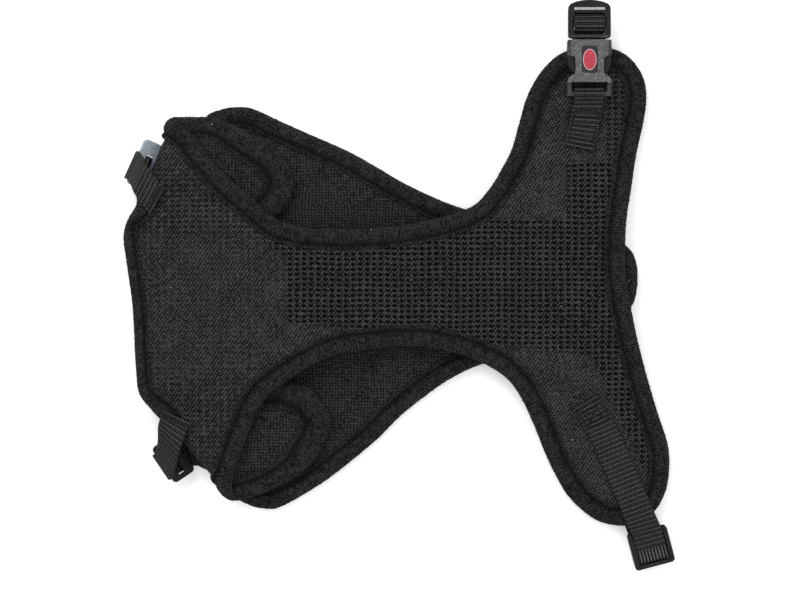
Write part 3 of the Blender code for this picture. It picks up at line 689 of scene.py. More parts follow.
def distance_inside(points, outline):
    """Distance of each point to a closed outline, positive inside, and the nearest place."""
    a, b = outline, np.roll(outline, -1, axis=0)
    edge = b - a
    away = points[:, None, :] - a[None]
    t = np.clip((away * edge).sum(2) / np.maximum((edge ** 2).sum(1), 1e-9), 0, 1)
    nearest = a[None] + edge[None] * t[..., None]
    gaps = np.linalg.norm(points[:, None, :] - nearest, axis=2)
    best = gaps.argmin(1)
    crossing = ((a[None, :, 1] > points[:, None, 1]) != (b[None, :, 1] > points[:, None, 1]))
    at = a[None, :, 0] + (points[:, None, 1] - a[None, :, 1]) * edge[None, :, 0] / np.where(
        np.abs(edge[:, 1]) < 1e-9, 1e-9, edge[:, 1])[None]
    inside = (crossing & (points[:, None, 0] < at)).sum(1) % 2 == 1
    rows = np.arange(len(points))
    return np.where(inside, 1, -1) * gaps[rows, best], nearest[rows, best]


def pad_grid(outline):
    """A grid cut to the outline, its rim pulled onto a line just inside the bound edge."""
    low, high = outline.min(0), outline.max(0)
    counts = np.ceil((high - low) / CELL).astype(int)
    bm = bmesh.new()
    bmesh.ops.create_grid(bm, x_segments=counts[0], y_segments=counts[1], size=1)
    bmesh.ops.scale(bm, vec=(*(counts * CELL / 2), 1), verts=bm.verts[:])
    bmesh.ops.translate(bm, vec=(*((low + high) / 2), 0), verts=bm.verts[:])
    coarse = outline[::4]
    inside, _ = distance_inside(np.array([vert.co.xy for vert in bm.verts]), coarse)
    outer = [vert for vert, far in zip(bm.verts[:], inside) if far < RIM + CELL * 0.3]
    bmesh.ops.delete(bm, geom=outer, context="VERTS")
    corners = [vert for vert in bm.verts if len(vert.link_faces) == 0]
    bmesh.ops.delete(bm, geom=corners, context="VERTS")
    rim = [vert for vert in bm.verts if vert.is_boundary]
    far, nearest = distance_inside(np.array([vert.co.xy for vert in rim]), coarse)
    for vert, gap, place in zip(rim, far, nearest):
        away = (Vector(vert.co.xy) - Vector(place)).normalized()
        vert.co.xy = Vector(place) + away * RIM
    return bm


# %% How much of the binding's width shows
LEFT_BAND = 0.66      # the neck end's binding is rolled under, so less of it shows
LOBE_BAND = 1.42      # it is stretched flat and wide round the tips of the lobes


def chest_band(point):
    x, y = point
    free = smooth((-118 - x) / 6) * smooth((y + 66) / 14) * smooth((44 - y) / 14)
    lobe = max(smooth((fold.beyond(Vector((x, y))) - 22) / 30)
               for fold in (UPPER_FOLD, LOWER_FOLD))
    return 1 - (1 - LEFT_BAND) * free + (LOBE_BAND - 1) * lobe


def back_band(_):
    return 1.0


# %% Laying and puffing a panel
def laid_panel(name, outline, place, sewn, band):
    """The doubled pattern in the stack, with weights for what is held while it puffs."""
    bm = pad_grid(outline)
    bmesh.ops.solidify(bm, geom=bm.faces[:], thickness=1)
    bmesh.ops.recalc_face_normals(bm, faces=bm.faces[:])
    flat = np.array([vert.co.xy for vert in bm.verts])
    inside, nearest = distance_inside(flat, outline[::4])
    inside = inside / np.array([band(point) for point in nearest])
    middle = sum(vert.co.z for vert in bm.verts) / len(bm.verts)
    held = bm.verts.layers.deform.verify()
    pattern_x = bm.verts.layers.float.new("pattern_x")
    pattern_y = bm.verts.layers.float.new("pattern_y")
    for face in bm.faces:
        face.material_index = 0 if face.calc_center_median().z > middle else 1
    for vert, far in zip(bm.verts, inside):
        x, y = vert.co.xy
        outer = vert.co.z > middle
        thick = 1.0 + (FACE - 1.0) * smooth((far - 7.5) / 5)
        vert[pattern_x], vert[pattern_y] = x, y
        hold = 1 - smooth((far - HELD) / 6)
        for (ax, ay), (bx, by), reach in sewn:
            a, b, p = Vector((ax, ay)), Vector((bx, by)), Vector((x, y))
            t = min(max((p - a).dot(b - a) / (b - a).length_squared, 0), 1)
            hold = max(hold, 1 - smooth(((p - a.lerp(b, t)).length - reach) / 5))
        if place is chest_point:
            for fold in (UPPER_FOLD, LOWER_FOLD):
                bend = fold.beyond(Vector((x, y)))
                if -4 < bend < math.pi * BEND_R + 4:
                    hold = 1.0
        vert[held][0] = min(1.0, hold)
        vert.co = place(x, y, thick if outer else -thick)
    print(name, "cells", len(bm.faces))
    return bm


def puff(obj):
    """Cloth with a little air in it, capped, and made real."""
    start = np.array([vert.co for vert in obj.data.vertices])
    obj.vertex_groups.new(name="held")
    cloth = obj.modifiers.new("Foam", "CLOTH")
    settings = cloth.settings
    settings.quality = 4
    settings.mass = 0.2
    settings.tension_stiffness = settings.compression_stiffness = 12
    settings.bending_stiffness = 0.6
    settings.vertex_group_mass = "held"
    settings.use_pressure = True
    settings.uniform_pressure_force = 0.35
    settings.effector_weights.gravity = 0
    cloth.collision_settings.use_collision = False
    cloth.point_cache.frame_start, cloth.point_cache.frame_end = 1, PUFF_FRAMES
    scene = bpy.context.scene
    for step in range(1, PUFF_FRAMES + 1):
        scene.frame_set(step)
    graph = bpy.context.evaluated_depsgraph_get()
    mesh = obj.evaluated_get(graph).to_mesh()
    end = np.array([vert.co for vert in mesh.vertices])
    obj.evaluated_get(graph).to_mesh_clear()
    obj.modifiers.clear()
    scene.frame_set(1)
    move = end - start
    far = np.linalg.norm(move, axis=1, keepdims=True)
    cap = CAP * MM
    kept = start + move * np.where(far > 0, cap * np.tanh(far / cap) / np.maximum(far, 1e-9), 0)
    obj.data.vertices.foreach_set("co", kept.ravel())
    print(obj.name, f"puffed {far.max() / MM:.1f} mm, kept {CAP} mm at most")


# %% [markdown]
# The mesh isn't open everywhere. Where a second layer is sewn behind it, its slots close up:
# at the neck end, on the wings, and in the lobes. The `open` attribute says how far the
# slots are open, and the finish reads it.


# %% Where the mesh is open
def edge_of(value, at, soft=1.5):
    return smooth((value - at) / soft + 0.5)


def chest_open(x, y):
    """1 in the middle band and in a strip inside each wing's outer edge, 0 over the linings."""
    neck = edge_of(x, -57 - 11 * smooth((y - 12) / 12) if y > 0 else -57)
    upper = smooth((y - 20) / 12) * smooth((62 - y) / 8)
    faint = 0.3 + 0.4 * upper + 0.25 * smooth((-38 - y) / 15)
    wing_top = 1 - edge_of(y, 33.5)
    side_top = edge_of(x, 82.5) * edge_of(62, y) if y > 33.5 else 0
    tip_top = 0.8 * edge_of(x, 103) * (1 - edge_of(y, 114)) if y > 62 else 0
    line = -30 - (x - 53) * 0.11
    wing_low = edge_of(y, line)
    strip = x - (98.5 + (-42 - y) * 0.46)
    side_low = edge_of(strip, 0) * (1 - edge_of(strip, 19, 3)) if y < line else 0
    body = max(min(wing_top, wing_low), side_top, tip_top, side_low)
    return body * neck + faint * (1 - neck)


def mark_open(obj, opened):
    data = obj.data
    xs, ys = (np.array([item.value for item in data.attributes[name].data])
              for name in ("pattern_x", "pattern_y"))
    mask = data.attributes.new("open", "FLOAT", "POINT")
    for item, x, y in zip(mask.data, xs, ys):
        item.value = opened(x, y)


# %% Make the two panels
def make_panel(name, outline, place, sewn, band, opened, nodes):
    bm = laid_panel(name, outline, place, sewn, band)
    obj = finished(name, bm, "harness", [SPACER, LINING_CLOTH], nodes)
    puff(obj)
    fine = obj.modifiers.new("Smooth", "SUBSURF")
    fine.levels = fine.render_levels = 1
    make_real(obj)
    mark_open(obj, opened)
    print(name, "triangles", 2 * len(obj.data.polygons))


chest_sewn = [((90.5, 69), (95, 99), 9.0), ((92, -58), (101, -71.5), 9.0),
              ((101, -71.5), (119.6, -116), 9.0), ((-121, 41), (-129, 55), 9.0),
              ((-111, -64), (-119, -88), 9.0), ((95, 99), (95, 122), 12.0)]
make_panel("chest_panel", chest_edge, chest_point, chest_sewn, chest_band, chest_open,
           ("chest_mesh", "chest_padding", "chest_lining"))
LINING_SEAM = [(-24.8, -36.7), (-20.5, -40.4), (-16.1, -43.4), (-13.4, -38.8), (-9.1, -32.3)]
back_sewn = [((95, -10), (95, 20), 9.0)]
back_sewn += [(a, b, 0.5) for a, b in zip(LINING_SEAM, LINING_SEAM[1:])]
make_panel("back_panel", back_edge, back_point, back_sewn, back_band, lambda x, y: 0.85,
           ("back_mesh", "back_padding", "back_lining"))

# %% [markdown]
# ## Knit binding
#
# The binding is a soft knitted tape folded over the panel's edge and sewn through near its
# inner edges. The seam pulls a groove, and the tape's selvedge stands up beside it as a
# small ridge. The section below has those shapes; it is wound round the whole pattern edge,
# and every second station is lifted a little for the ribs.

# %% The binding's section, as (inward, offset) in millimetres
TOP_SECTION = [(10.5, 1.55), (10.55, 2.0), (10.1, 2.45), (9.3, 2.6), (8.6, 2.35), (8.1, 1.95),
               (7.6, 2.3), (6.6, 2.85), (5.2, 3.15), (3.8, 3.1), (2.5, 2.75), (1.4, 2.1),
               (0.5, 1.2), (0.1, 0.45)]
WALL_SECTION = [(10.2, -1.3), (6.0, -1.35), (2.0, -1.1), (1.2, 0.0), (2.0, 1.1), (6.0, 1.35),
                (10.2, 1.3)]
BAND = TOP_SECTION + [(inward, -offset) for inward, offset in TOP_SECTION[::-1]] + WALL_SECTION
SEAM_AT = 8.1         # the groove's distance from the bound edge
SECTION_ROUND = 40.0  # the section's length, laid flat
CORNER_FAN = 7        # the inward direction turns this gradually at corners
RIB_LIFT = 0.07
FLOOR_CLEAR = 0.02


def band_stations(outline, place, band):
    """A function for the points of the binding: (row of the section, station) to a point."""
    normals = inward_normals(outline, round(CORNER_FAN / RIB_STEP))
    lumps = [0.05 * noise.noise(Vector((k * 0.03, 0, len(outline)))) for k in range(len(outline))]
    widths = [band(point) for point in outline]

    def station(i, k):
        inward, offset = BAND[i]
        if i < OUTER_ROWS:
            rib = RIB_LIFT if k % 2 else -RIB_LIFT
            rough = 0.12 * noise.noise(Vector((k * 0.45, i * 1.3, 3)))
            offset *= 1 + (lumps[k] + rib * 0.4 + rough * 0.5) * min(1, abs(offset) / 2)
            inward -= (rib + rough * 2) * (1 - min(1, inward / 4))
        x, y = outline[k] + normals[k] * inward * widths[k]
        point = place(x, y, offset)
        point.z = max(point.z, FLOOR_CLEAR)
        return point

    return station, normals, widths


OUTER_ROWS = 2 * len(TOP_SECTION)
SEAM_ROWS = (5, OUTER_ROWS - 6)
SEAM_FADE = 0.36      # how much of the seam's shade each row away from it loses
# painted shade of the seam's groove: each row's share of darkening, fading with distance from the
# seam rows
seam_painted_shade = [max(0.0, 1 - SEAM_FADE * min(abs(i - row) for row in SEAM_ROWS))
              if i < OUTER_ROWS else 0.0 for i in range(len(BAND))]
TAPES = (("chest_binding", chest_edge, chest_point, chest_band),
         ("back_binding", back_edge, back_point, back_band))

for node, outline, place, band in TAPES:
    station, _, _ = band_stations(outline, place, band)
    bm = wound(len(BAND), len(outline), station, (SECTION_ROUND, RIB_STEP * len(outline)), True,
               ("seam", seam_painted_shade))
    tape = finished(node + "_tape", bm, "harness", BINDING, (node,))
    print(tape.name, "triangles", 2 * len(tape.data.polygons))

# %% [markdown]
# Two small things make the binding read as sewn knit: the lockstitches that lie in its
# groove, and the nap, the loose fibre ends that blur its outline. Both are one small shape
# repeated, a flattened sphere and a three-sided cone. They are made in batches, because an
# operator slows down as its mesh grows.


# %% Repeated small shapes
def scattered(shape, matrices, batch=64):
    whole = bmesh.new()
    for start in range(0, len(matrices), batch):
        part = bmesh.new()
        for matrix in matrices[start:start + batch]:
            shape(part, matrix)
        data = bpy.data.meshes.new("batch")
        part.to_mesh(data)
        part.free()
        whole.from_mesh(data)
        bpy.data.meshes.remove(data)
    return whole


def one_stitch(bm, matrix):
    bmesh.ops.create_uvsphere(bm, u_segments=6, v_segments=4, radius=1, matrix=matrix)


def one_fibre(bm, matrix):
    bmesh.ops.create_cone(bm, cap_ends=True, segments=3, radius1=0.07, radius2=0.015, depth=1,
                          matrix=matrix)


def stitch_matrix(place, along, up, length=2.1, width=0.46, height=0.3):
    """Lays a stitch at a place, along one way and raised another."""
    along = Vector(along).normalized()
    side = Vector(up).cross(along).normalized()
    axes = Matrix((along * length / 2, side * width / 2, along.cross(side) * height / 2))
    return Matrix.Translation(place) @ axes.transposed().to_4x4()


# %% Seam stitches of both bindings
STITCH_PITCH = 2.9


def seam_stitches(outline, place, band):
    _, normals, widths = band_stations(outline, place, band)
    found = []
    every = max(1, round(STITCH_PITCH / RIB_STEP))
    for k in range(0, len(outline) - every, every):
        for side in (1, -1):
            spots = [place(*(outline[at] + normals[at] * SEAM_AT * widths[at]), side * 1.98)
                     for at in (k, k + 2)]
            above = place(*(outline[k] + normals[k] * SEAM_AT * widths[k]), side * 2.6)
            found.append(stitch_matrix(spots[0].lerp(spots[1], 0.5), spots[1] - spots[0],
                                       above - spots[0]))
    return found


for node, outline, place, band in TAPES:
    matrices = seam_stitches(outline, place, band)
    finished(node + "_seam", scattered(one_stitch, matrices), "harness", THREAD)
    print(node, len(matrices), "stitches")

# %% Nap of both bindings
NAP_LENGTH = (0.4, 1.25)
NAP_EACH_MM = 8.0
NAP_LEAN = 0.8
NAP_FREE_X, NAP_FREE_Y = 94.3, 100    # no fibres where the buckle's strap slides over the edge


def nap_matrices(outline, place, band):
    station, _, _ = band_stations(outline, place, band)
    found = []
    for _ in range(int(NAP_EACH_MM * RIB_STEP * len(outline))):
        k = random.randrange(len(outline))
        i = random.choice(range(7, OUTER_ROWS - 8))
        root = station(i, k)
        out = (station(i, k) - station(OUTER_ROWS + 3, k)).normalized()
        lean = Vector([random.uniform(-NAP_LEAN, NAP_LEAN) for _ in range(3)])
        way = (out + lean).normalized()
        length = random.uniform(*NAP_LENGTH)
        turn = way.to_track_quat("Z", "Y").to_matrix().to_4x4()
        stretch = Matrix.Diagonal((1, 1, length, 1))
        under_plug = abs(root.x - NAP_FREE_X) < 9 and root.y > NAP_FREE_Y
        if root.z + way.z * length > 0.1 and not under_plug:
            found.append(Matrix.Translation(root + way * (length / 2 - 0.1)) @ turn @ stretch)
    return found


for node, outline, place, band in TAPES:
    matrices = nap_matrices(outline, place, band)
    finished(node + "_nap", scattered(one_fibre, matrices), "harness", NAP)
    print(node, len(matrices), "fibres")

# %% [markdown]
# ## Webbing
#
# Nylon webbing is woven flat with a thick weft, so it has cross ribs and a firm rounded
# selvedge. Each strap is a wound grid along its route: the route says where the middle is
# and which way is across. The ribs are lifted in the mesh, and the finish adds the beads.


# %% A strap along a route
WEB_STEP = 0.575      # four stations for each rib
RIB_PITCH = 2.3


def web_section():
    """The tape's section as (across, up) shares, with round selvedges."""
    half = WEB / 2 - WEB_THICK / 2
    top = [(half * share, 0.5) for share in (1, 0.75, 0.5, 0.25, 0, -0.25, -0.5, -0.75, -1)]
    left = [(-half - 0.42, 0.3), (-half - 0.55, 0), (-half - 0.42, -0.3)]
    return top + left + [(-across, -up) for across, up in top] + [(-x, -up) for x, up in left]


SECTION = web_section()


def web_frames(route):
    """Places, across vectors and normals along a route of (x, y, z, across x, across y).

    The across vectors stay as the route gives them, so a tape may lie a little on the skew.
    """
    line, length = evenly(curve_through(route, False, 12), WEB_STEP, False)
    places = line[:, :3]
    across = np.concatenate([line[:, 3:5], np.zeros((len(line), 1))], axis=1)
    along = np.gradient(places, axis=0)
    along /= np.linalg.norm(along, axis=1, keepdims=True)
    across /= np.linalg.norm(across, axis=1, keepdims=True)
    up = np.cross(across, along)
    return places, across, up / np.linalg.norm(up, axis=1, keepdims=True), length


def make_web(name, body, route, nodes=(), flatten=(), rib=0.14, finish=None):
    """A strap; flatten lists (from, to) lengths where stitching presses the ribs down."""
    places, across, up, length = web_frames(route)

    def station(i, k):
        side, lift = SECTION[i]
        along = k * WEB_STEP
        level = 0.5 + rib * math.cos(math.tau * along / RIB_PITCH)
        level -= rib * 0.8 if any(a <= along <= b for a, b in flatten) else 0
        thick = (WEB_THICK - 0.12) * lift * (1 + (level - 0.5) * 2)
        return Vector(places[k] + across[k] * side + up[k] * thick)

    rows = len(places) - 1
    bm = wound(len(SECTION), rows, station, (2 * WEB + 2, rows * WEB_STEP))
    finished(name, bm, body, finish or WEBBING, nodes)
    print(name, f"{length:.0f} mm")


# %% [markdown]
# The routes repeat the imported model's, so that the straps lie where its solids do: the tab
# round the buckle's bar, the girth strap across the back panel and over the ring, the fold
# round the slider, and the neck tabs round their bars.

# %% Buckle and girth routes
BUCKLE_X, BUCKLE_LOW, BUCKLE_HIGH = 94.3, 10.3, 16.6
BAR_Y, BAR_HALF, BAR_Z = 95.75, 1.2, 12.4
PRONG_Z = 13.35
SLIDER_CENTRE, SLIDER_TURN, SLIDER_Z = Vector((125.8, -131.2)), math.radians(15), 4.5
RING_Y, RING_Z, RING_WIRE = -2.0, 3.35, 1.2


def on_chest(x, y, above, *across):
    """A place of a route that lies over the chest panel."""
    return (x, y, chest_height(x, y) + FACE + above, *across)


def turn_round(centre, radius, degrees, across):
    """Places of a route round a bar; centre(reach) gives the bar's x, y and height."""
    angles = [math.radians(angle) for angle in degrees]
    return [(*centre(radius * math.cos(a))[:2], centre(0)[2] + radius * math.sin(a), *across)
            for a in angles]


def buckle_tab_route():
    turn = BAR_HALF * math.sqrt(2) + GAP + WEB_THICK / 2
    low = max(WING_Z + FACE + GAP + WEB_THICK / 2, BAR_Z - turn)
    return [on_chest(89.6, 69.5, 0.9, 0.98, -0.2), on_chest(91.8, 80, 0.9, 0.99, -0.1),
            (93.8, 90.5, low, 1, 0),
            *turn_round(lambda reach: (BUCKLE_X, BAR_Y + reach, BAR_Z), turn,
                        range(-90, 91, 30), (1, 0)),
            on_chest(93.6, 89.5, 3.4, 1, 0), on_chest(91.7, 79.5, 2.5, 0.99, -0.1),
            on_chest(89.5, 69.0, 2.4, 0.98, -0.2)]


def ladder_route():
    top = PRONG_Z + 2.1 + GAP + WEB_THICK / 2
    x = BUCKLE_X
    path = [(x - 1, 93, 2.3), (x - 1, 106, 2.3), (x - 1, 119.5, 2.4), (x - 0.7, 123, 4.6),
            (x, 126.0, 10.5), (x, 127.2, 14.2), (x, 129.4, top), (x, 132.8, top),
            (x, 135.0, 14.4), (x, 135.2, 11.0), (x, 133.2, 9.0), (x, 130.2, 8.4)]
    return [(*point, 1, 0) for point in path]


def on_slider(across, along):
    turned = Matrix.Rotation(SLIDER_TURN, 2) @ Vector((across, along - 9.6))
    return SLIDER_CENTRE + turned


def girth_route():
    flat = 0.75
    end = on_slider(0, 0.8)
    return [(95, 117.5, flat, 1, 0), (95, 90, flat, 1, 0), (95, 50, flat, 1, 0),
            (95, 24, 1.8, 1, 0), (95, 14.0, 3.6, 1, 0), (95, 8.5, 4.25, 1, 0),
            (95, 4.0, 3.3, 1, 0), (95, RING_Y, 1.25, 1, 0), (95, -12, flat, 1, 0),
            (95.5, -40, flat, 0.99, 0.1), (103.5, -72, flat, 0.96, 0.27),
            (115.2, -104, flat, 0.95, 0.3),
            (*end, flat, math.cos(SLIDER_TURN), math.sin(SLIDER_TURN))]


# %% Slider and neck routes
TURN_R = 2.3          # middle radius of the fold round the slider's bar
LOOP_R = 3.3          # middle radius of a neck tab's loop round its bar
NECK_BAR_Z = 9.6
SLANT = (math.cos(SLIDER_TURN), math.sin(SLIDER_TURN))


def slider_fold_route():
    above, below = ([(*on_slider(0, along), SLIDER_Z + rise, *SLANT) for along in (16.0, 10.0)]
                    for rise in (TURN_R, -TURN_R))
    return (above + turn_round(lambda reach: (*on_slider(0, 5.6 + reach), SLIDER_Z), TURN_R,
                               range(90, 271, 30), SLANT) + below[::-1])


def slider_strap_route():
    high = SLIDER_Z + TURN_R + WEB_THICK + GAP
    return [on_chest(92.2, -58.0, 0.9, 0.85, 0.52), on_chest(101.0, -71.5, 0.9, 0.92, 0.4),
            on_chest(110.5, -93, 1.2, 0.93, 0.37), on_chest(115.2, -104, 2.3, 0.93, 0.37),
            on_chest(119.6, -114.6, 2.3, 0.95, 0.32),
            (*on_slider(0, 18.0), high + 0.3, *SLANT), (*on_slider(0, 14), high, *SLANT),
            (*on_slider(0, 9.7), high, *SLANT)]


def neck_tab_route(fold, start, start_across, edge, bar):
    """From the sewn end over the fold, down round the adjuster's bar and back up inside."""
    top = CHEST_Z + HALF + GAP + WEB_THICK / 2
    a0, a1 = Vector(start_across), Vector(bar).normalized()
    along = (Vector(edge) - Vector(start)).normalized()
    way = Vector((-a1.y, a1.x))
    way = way if way.dot(along) > 0 else -way
    centre = Vector(edge) - way * (LOOP_R + WEB_THICK / 2)
    over = fold.out.dot(along)
    rim = Vector(start) + along * (-(Vector(start) - fold.silhouette()).dot(fold.out) / over)
    route = [(*start, top, *a0), (*Vector(start).lerp(rim, 0.75), top, *a0.lerp(a1, 0.35)),
             (*rim.lerp(centre, 0.12), top - 0.5, *a0.lerp(a1, 0.6)),
             (*rim.lerp(centre, 0.55), (top + NECK_BAR_Z + LOOP_R) / 2 + 0.9,
              *a0.lerp(a1, 0.85))]
    route += turn_round(lambda reach: (*(centre + way * reach), NECK_BAR_Z), LOOP_R,
                        (65, 35, 0, -35, -65, -95, -130), a1)
    route += [(*(centre - way * (LOOP_R + reach)), NECK_BAR_Z + rise, *a1)
              for reach, rise in ((0.1, 0.4), (0.9, 2.6))]
    return route, centre


UPPER_TAB = ((-120.2, 41.8), (0.48, 0.88), (-135.0, 60.9), (0.41, 0.91))
LOWER_TAB = ((-110.8, -64.5), (0.914, -0.406), (-119.8, -91.0), (0.56, -0.83))
UPPER_STRAP = [(-127.4, 57.3, 9.3, 0.41, 0.91), (-126.9, 57.0, 7.2, 0.41, 0.91),
               (-126.2, 56.6, 4.6, 0.41, 0.91), (-124.0, 55.6, 2.6, 0.4, 0.92),
               (-117, 55.8, 2.3, 0.3, 0.95), (-108, 61.0, 2.9, 0.0, 1.0),
               (-99.6, 65.4, 3.1, -0.2, 0.98)]
LOWER_STRAP = [(-112.8, -86.3, 9.3, -0.56, 0.83), (-112.3, -85.9, 7.2, -0.56, 0.83),
               (-111.6, -85.5, 4.6, -0.56, 0.83), (-109.6, -84.3, 2.6, -0.5, 0.87),
               (-104, -83.2, 2.3, -0.3, 0.95), (-98, -84.5, 2.8, 0.0, 1.0),
               (-92.4, -86, 3.1, 0.1, 0.99)]

# %% Make every strap
upper_route, upper_bar = neck_tab_route(UPPER_FOLD, *UPPER_TAB)
lower_route, lower_bar = neck_tab_route(LOWER_FOLD, *LOWER_TAB)
for name, body, route, node, details in (
        ("buckle_tab_web", "harness", buckle_tab_route(), "buckle_tab",
         {"flatten": ((38, 70),)}),
        ("ladder_lock_web", "plug", ladder_route(), "girth_strap_loop", {"rib": 0.16}),
        ("girth_web", "harness", girth_route(), "girth_strap", {}),
        ("slider_strap_web", "harness", slider_strap_route(), "slider_strap",
         {"flatten": ((0, 15),)}),
        ("slider_fold_web", "slider", slider_fold_route(), "slider_fold",
         {"finish": TURNED_WEBBING}),
        ("neck_tab_upper_web", "harness", upper_route, "shoulder_tab_upper", {}),
        ("neck_tab_lower_web", "harness", lower_route, "shoulder_tab_lower", {}),
        ("neck_strap_upper_web", "harness", UPPER_STRAP, "shoulder_strap_upper", {}),
        ("neck_strap_lower_web", "harness", LOWER_STRAP, "shoulder_strap_lower", {})):
    make_web(name, body, route, (node,), **details)


# %% [markdown]
# The sewn ends are lockstitched in boxes and rows. A stitch line is given on the strap
# itself, across it and along it, and the strap's own frames lay the stitches on both faces.


# %% Stitching on the straps
def box(near, far, side=6.0):
    return [(-side, near), (side, near), (side, far), (-side, far), (-side, near)]


def row(along, side=6.4):
    return [(-side, along), (side, along)]


def sew(name, route, lines):
    places, across, up, length = web_frames(route)
    matrices = []
    for line in lines:
        line = [(side, along if along >= 0 else length + along) for side, along in line]
        spots, _ = evenly(np.array(line, float), 1.9, False, 2)
        for (side_a, a), (side_b, b) in zip(spots, spots[1:]):
            for face in (1, -1):
                ends = []
                for side, along in ((side_a, a), (side_b, b)):
                    k = min(int(along / WEB_STEP), len(places) - 1)
                    ends.append(Vector(places[k] + across[k] * side
                                       + up[k] * face * (WEB_THICK / 2 + 0.03)))
                if (ends[1] - ends[0]).length > 0.1:
                    matrices.append(stitch_matrix(ends[0].lerp(ends[1], 0.5), ends[1] - ends[0],
                                                  up[k] * face, 1.7, 0.6, 0.45))
    finished(name, scattered(one_stitch, matrices), "harness", STRAP_THREAD)
    print(name, len(matrices), "stitches")


sew("buckle_tab_stitching", buckle_tab_route(),
    [box(-19, -1.6), row(-4.4), row(-7.8), row(-11.4), row(-15.2)])
sew("slider_strap_stitching", slider_strap_route(),
    [box(1.6, 13.5), box(4.2, 11.0, 3.6), [(-6, 1.6), (6, 13.5)], [(6, 1.6), (-6, 13.5)]])
for name, route, rows in (("neck_tab_upper", upper_route, (1.4, 3.2)),
                          ("neck_tab_lower", lower_route, (1.4, 3.2)),
                          ("neck_strap_upper", UPPER_STRAP, (-2.0, -4.5)),
                          ("neck_strap_lower", LOWER_STRAP, (-2.0, -4.5))):
    sew(name + "_stitching", route, [row(along) for along in rows])


# %% Seam on the back panel's lining
def lining_seam():
    line, _ = evenly(curve_through(LINING_SEAM, False), 1.1, False)
    matrices = []
    for a, b in zip(line[::2], line[1::2]):
        ends = [back_point(x, y, -FACE - 0.05) for x, y in (a, b)]
        matrices.append(stitch_matrix(ends[0].lerp(ends[1], 0.5), ends[1] - ends[0],
                                      Vector((0, 0, 1)), 1.6, 0.5, 0.3))
    finished("back_lining_seam", scattered(one_stitch, matrices), "harness", THREAD)
    print("lining seam", len(matrices), "stitches")


lining_seam()

# %% [markdown]
# ## Moulded hardware
#
# The buckle is two mouldings: a socket whose floor and roof hold the prongs, with a bar for
# its tab, and a plug with a ladder lock. Each starts as an outline, filled and extruded to a
# plate, then windows are cut and every edge is rounded, because moulded edges catch the
# light as thin bright lines.


# %% Plates and rounded edges
def plate_mesh(outline, low, high):
    """One outline filled and extruded from low to high."""
    bm = bmesh.new()
    face = bm.faces.new([bm.verts.new((x, y, low)) for x, y in outline])
    raised = bmesh.ops.extrude_face_region(bm, geom=[face])["geom"]
    verts = [item for item in raised if isinstance(item, bmesh.types.BMVert)]
    bmesh.ops.translate(bm, vec=(0, 0, high - low), verts=verts)
    bmesh.ops.recalc_face_normals(bm, faces=bm.faces[:])
    return bm


def round_box(low, high, radius, height, steps=5):
    """A rectangle's outline with round corners, extruded between two heights."""
    (x0, y0), (x1, y1) = low, high
    points = []
    for cx, cy, start in ((x1 - radius, y1 - radius, 0), (x0 + radius, y1 - radius, 90),
                          (x0 + radius, y0 + radius, 180), (x1 - radius, y0 + radius, 270)):
        for step in range(steps + 1):
            angle = math.radians(start + 90 * step / steps)
            points.append((cx + radius * math.cos(angle), cy + radius * math.sin(angle)))
    return plate_mesh(points, *height)


def mirrored(half):
    """An outline from its right half, listed from top to bottom."""
    return half + [(-x, y) for x, y in half[::-1] if x > 0.01]


def carve(bm, cuts, joins=()):
    """The mesh with some shapes joined to it and others cut out of it."""
    base = new_object("blank", bm)
    tools = []
    for operation, shapes in (("UNION", joins), ("DIFFERENCE", cuts)):
        for shape in shapes:
            tool = new_object("tool", shape)
            step = base.modifiers.new("cut", "BOOLEAN")
            step.operation, step.solver, step.object = operation, "EXACT", tool
            tools.append(tool)
    make_real(base)
    result = bmesh.new()
    result.from_mesh(base.data)
    for obj in (base, *tools):
        data = obj.data
        bpy.data.objects.remove(obj)
        bpy.data.meshes.remove(data)
    bmesh.ops.remove_doubles(result, verts=result.verts[:], dist=1e-3)
    bmesh.ops.dissolve_limit(result, angle_limit=math.radians(2), verts=result.verts[:],
                             edges=result.edges[:])
    return result


def soften(bm, width, segments=3, angle=28):
    """Rounds every edge sharper than the angle."""
    sharp = [edge for edge in bm.edges if len(edge.link_faces) == 2
             and edge.calc_face_angle(0) > math.radians(angle)]
    bmesh.ops.bevel(bm, geom=sharp, offset=width, segments=segments, profile=0.5,
                    affect="EDGES", material=-1, clamp_overlap=True)
    bmesh.ops.remove_doubles(bm, verts=bm.verts[:], dist=1e-4)


def moulded(name, bm, body, finish, nodes, place=None):
    """A hard piece: flat faces shaded flat, rounded edges shaded round."""
    if place is not None:
        bm.transform(place)
    obj = finished(name, bm, body, finish, nodes)
    weighted = obj.modifiers.new("Shading", "WEIGHTED_NORMAL")
    weighted.keep_sharp = True
    print(name, "faces", len(obj.data.polygons))


# %% [markdown]
# The socket's outline has two legs, a flared base with sloping shoulders, a waist where the
# prongs show, and a straight mouth. Its roof has a recess for the badge and a shallow thumb
# dip at the mouth.

# %% The socket
SOCKET_HALF = [(10.4, 122.5), (10.9, 122.0), (11.0, 115.2), (7.2, 113.6), (6.9, 107.4),
               (7.3, 105.6), (10.4, 103.4), (10.9, 102.2), (10.9, 94.6), (8.9, 94.6),
               (8.9, 101.4)]


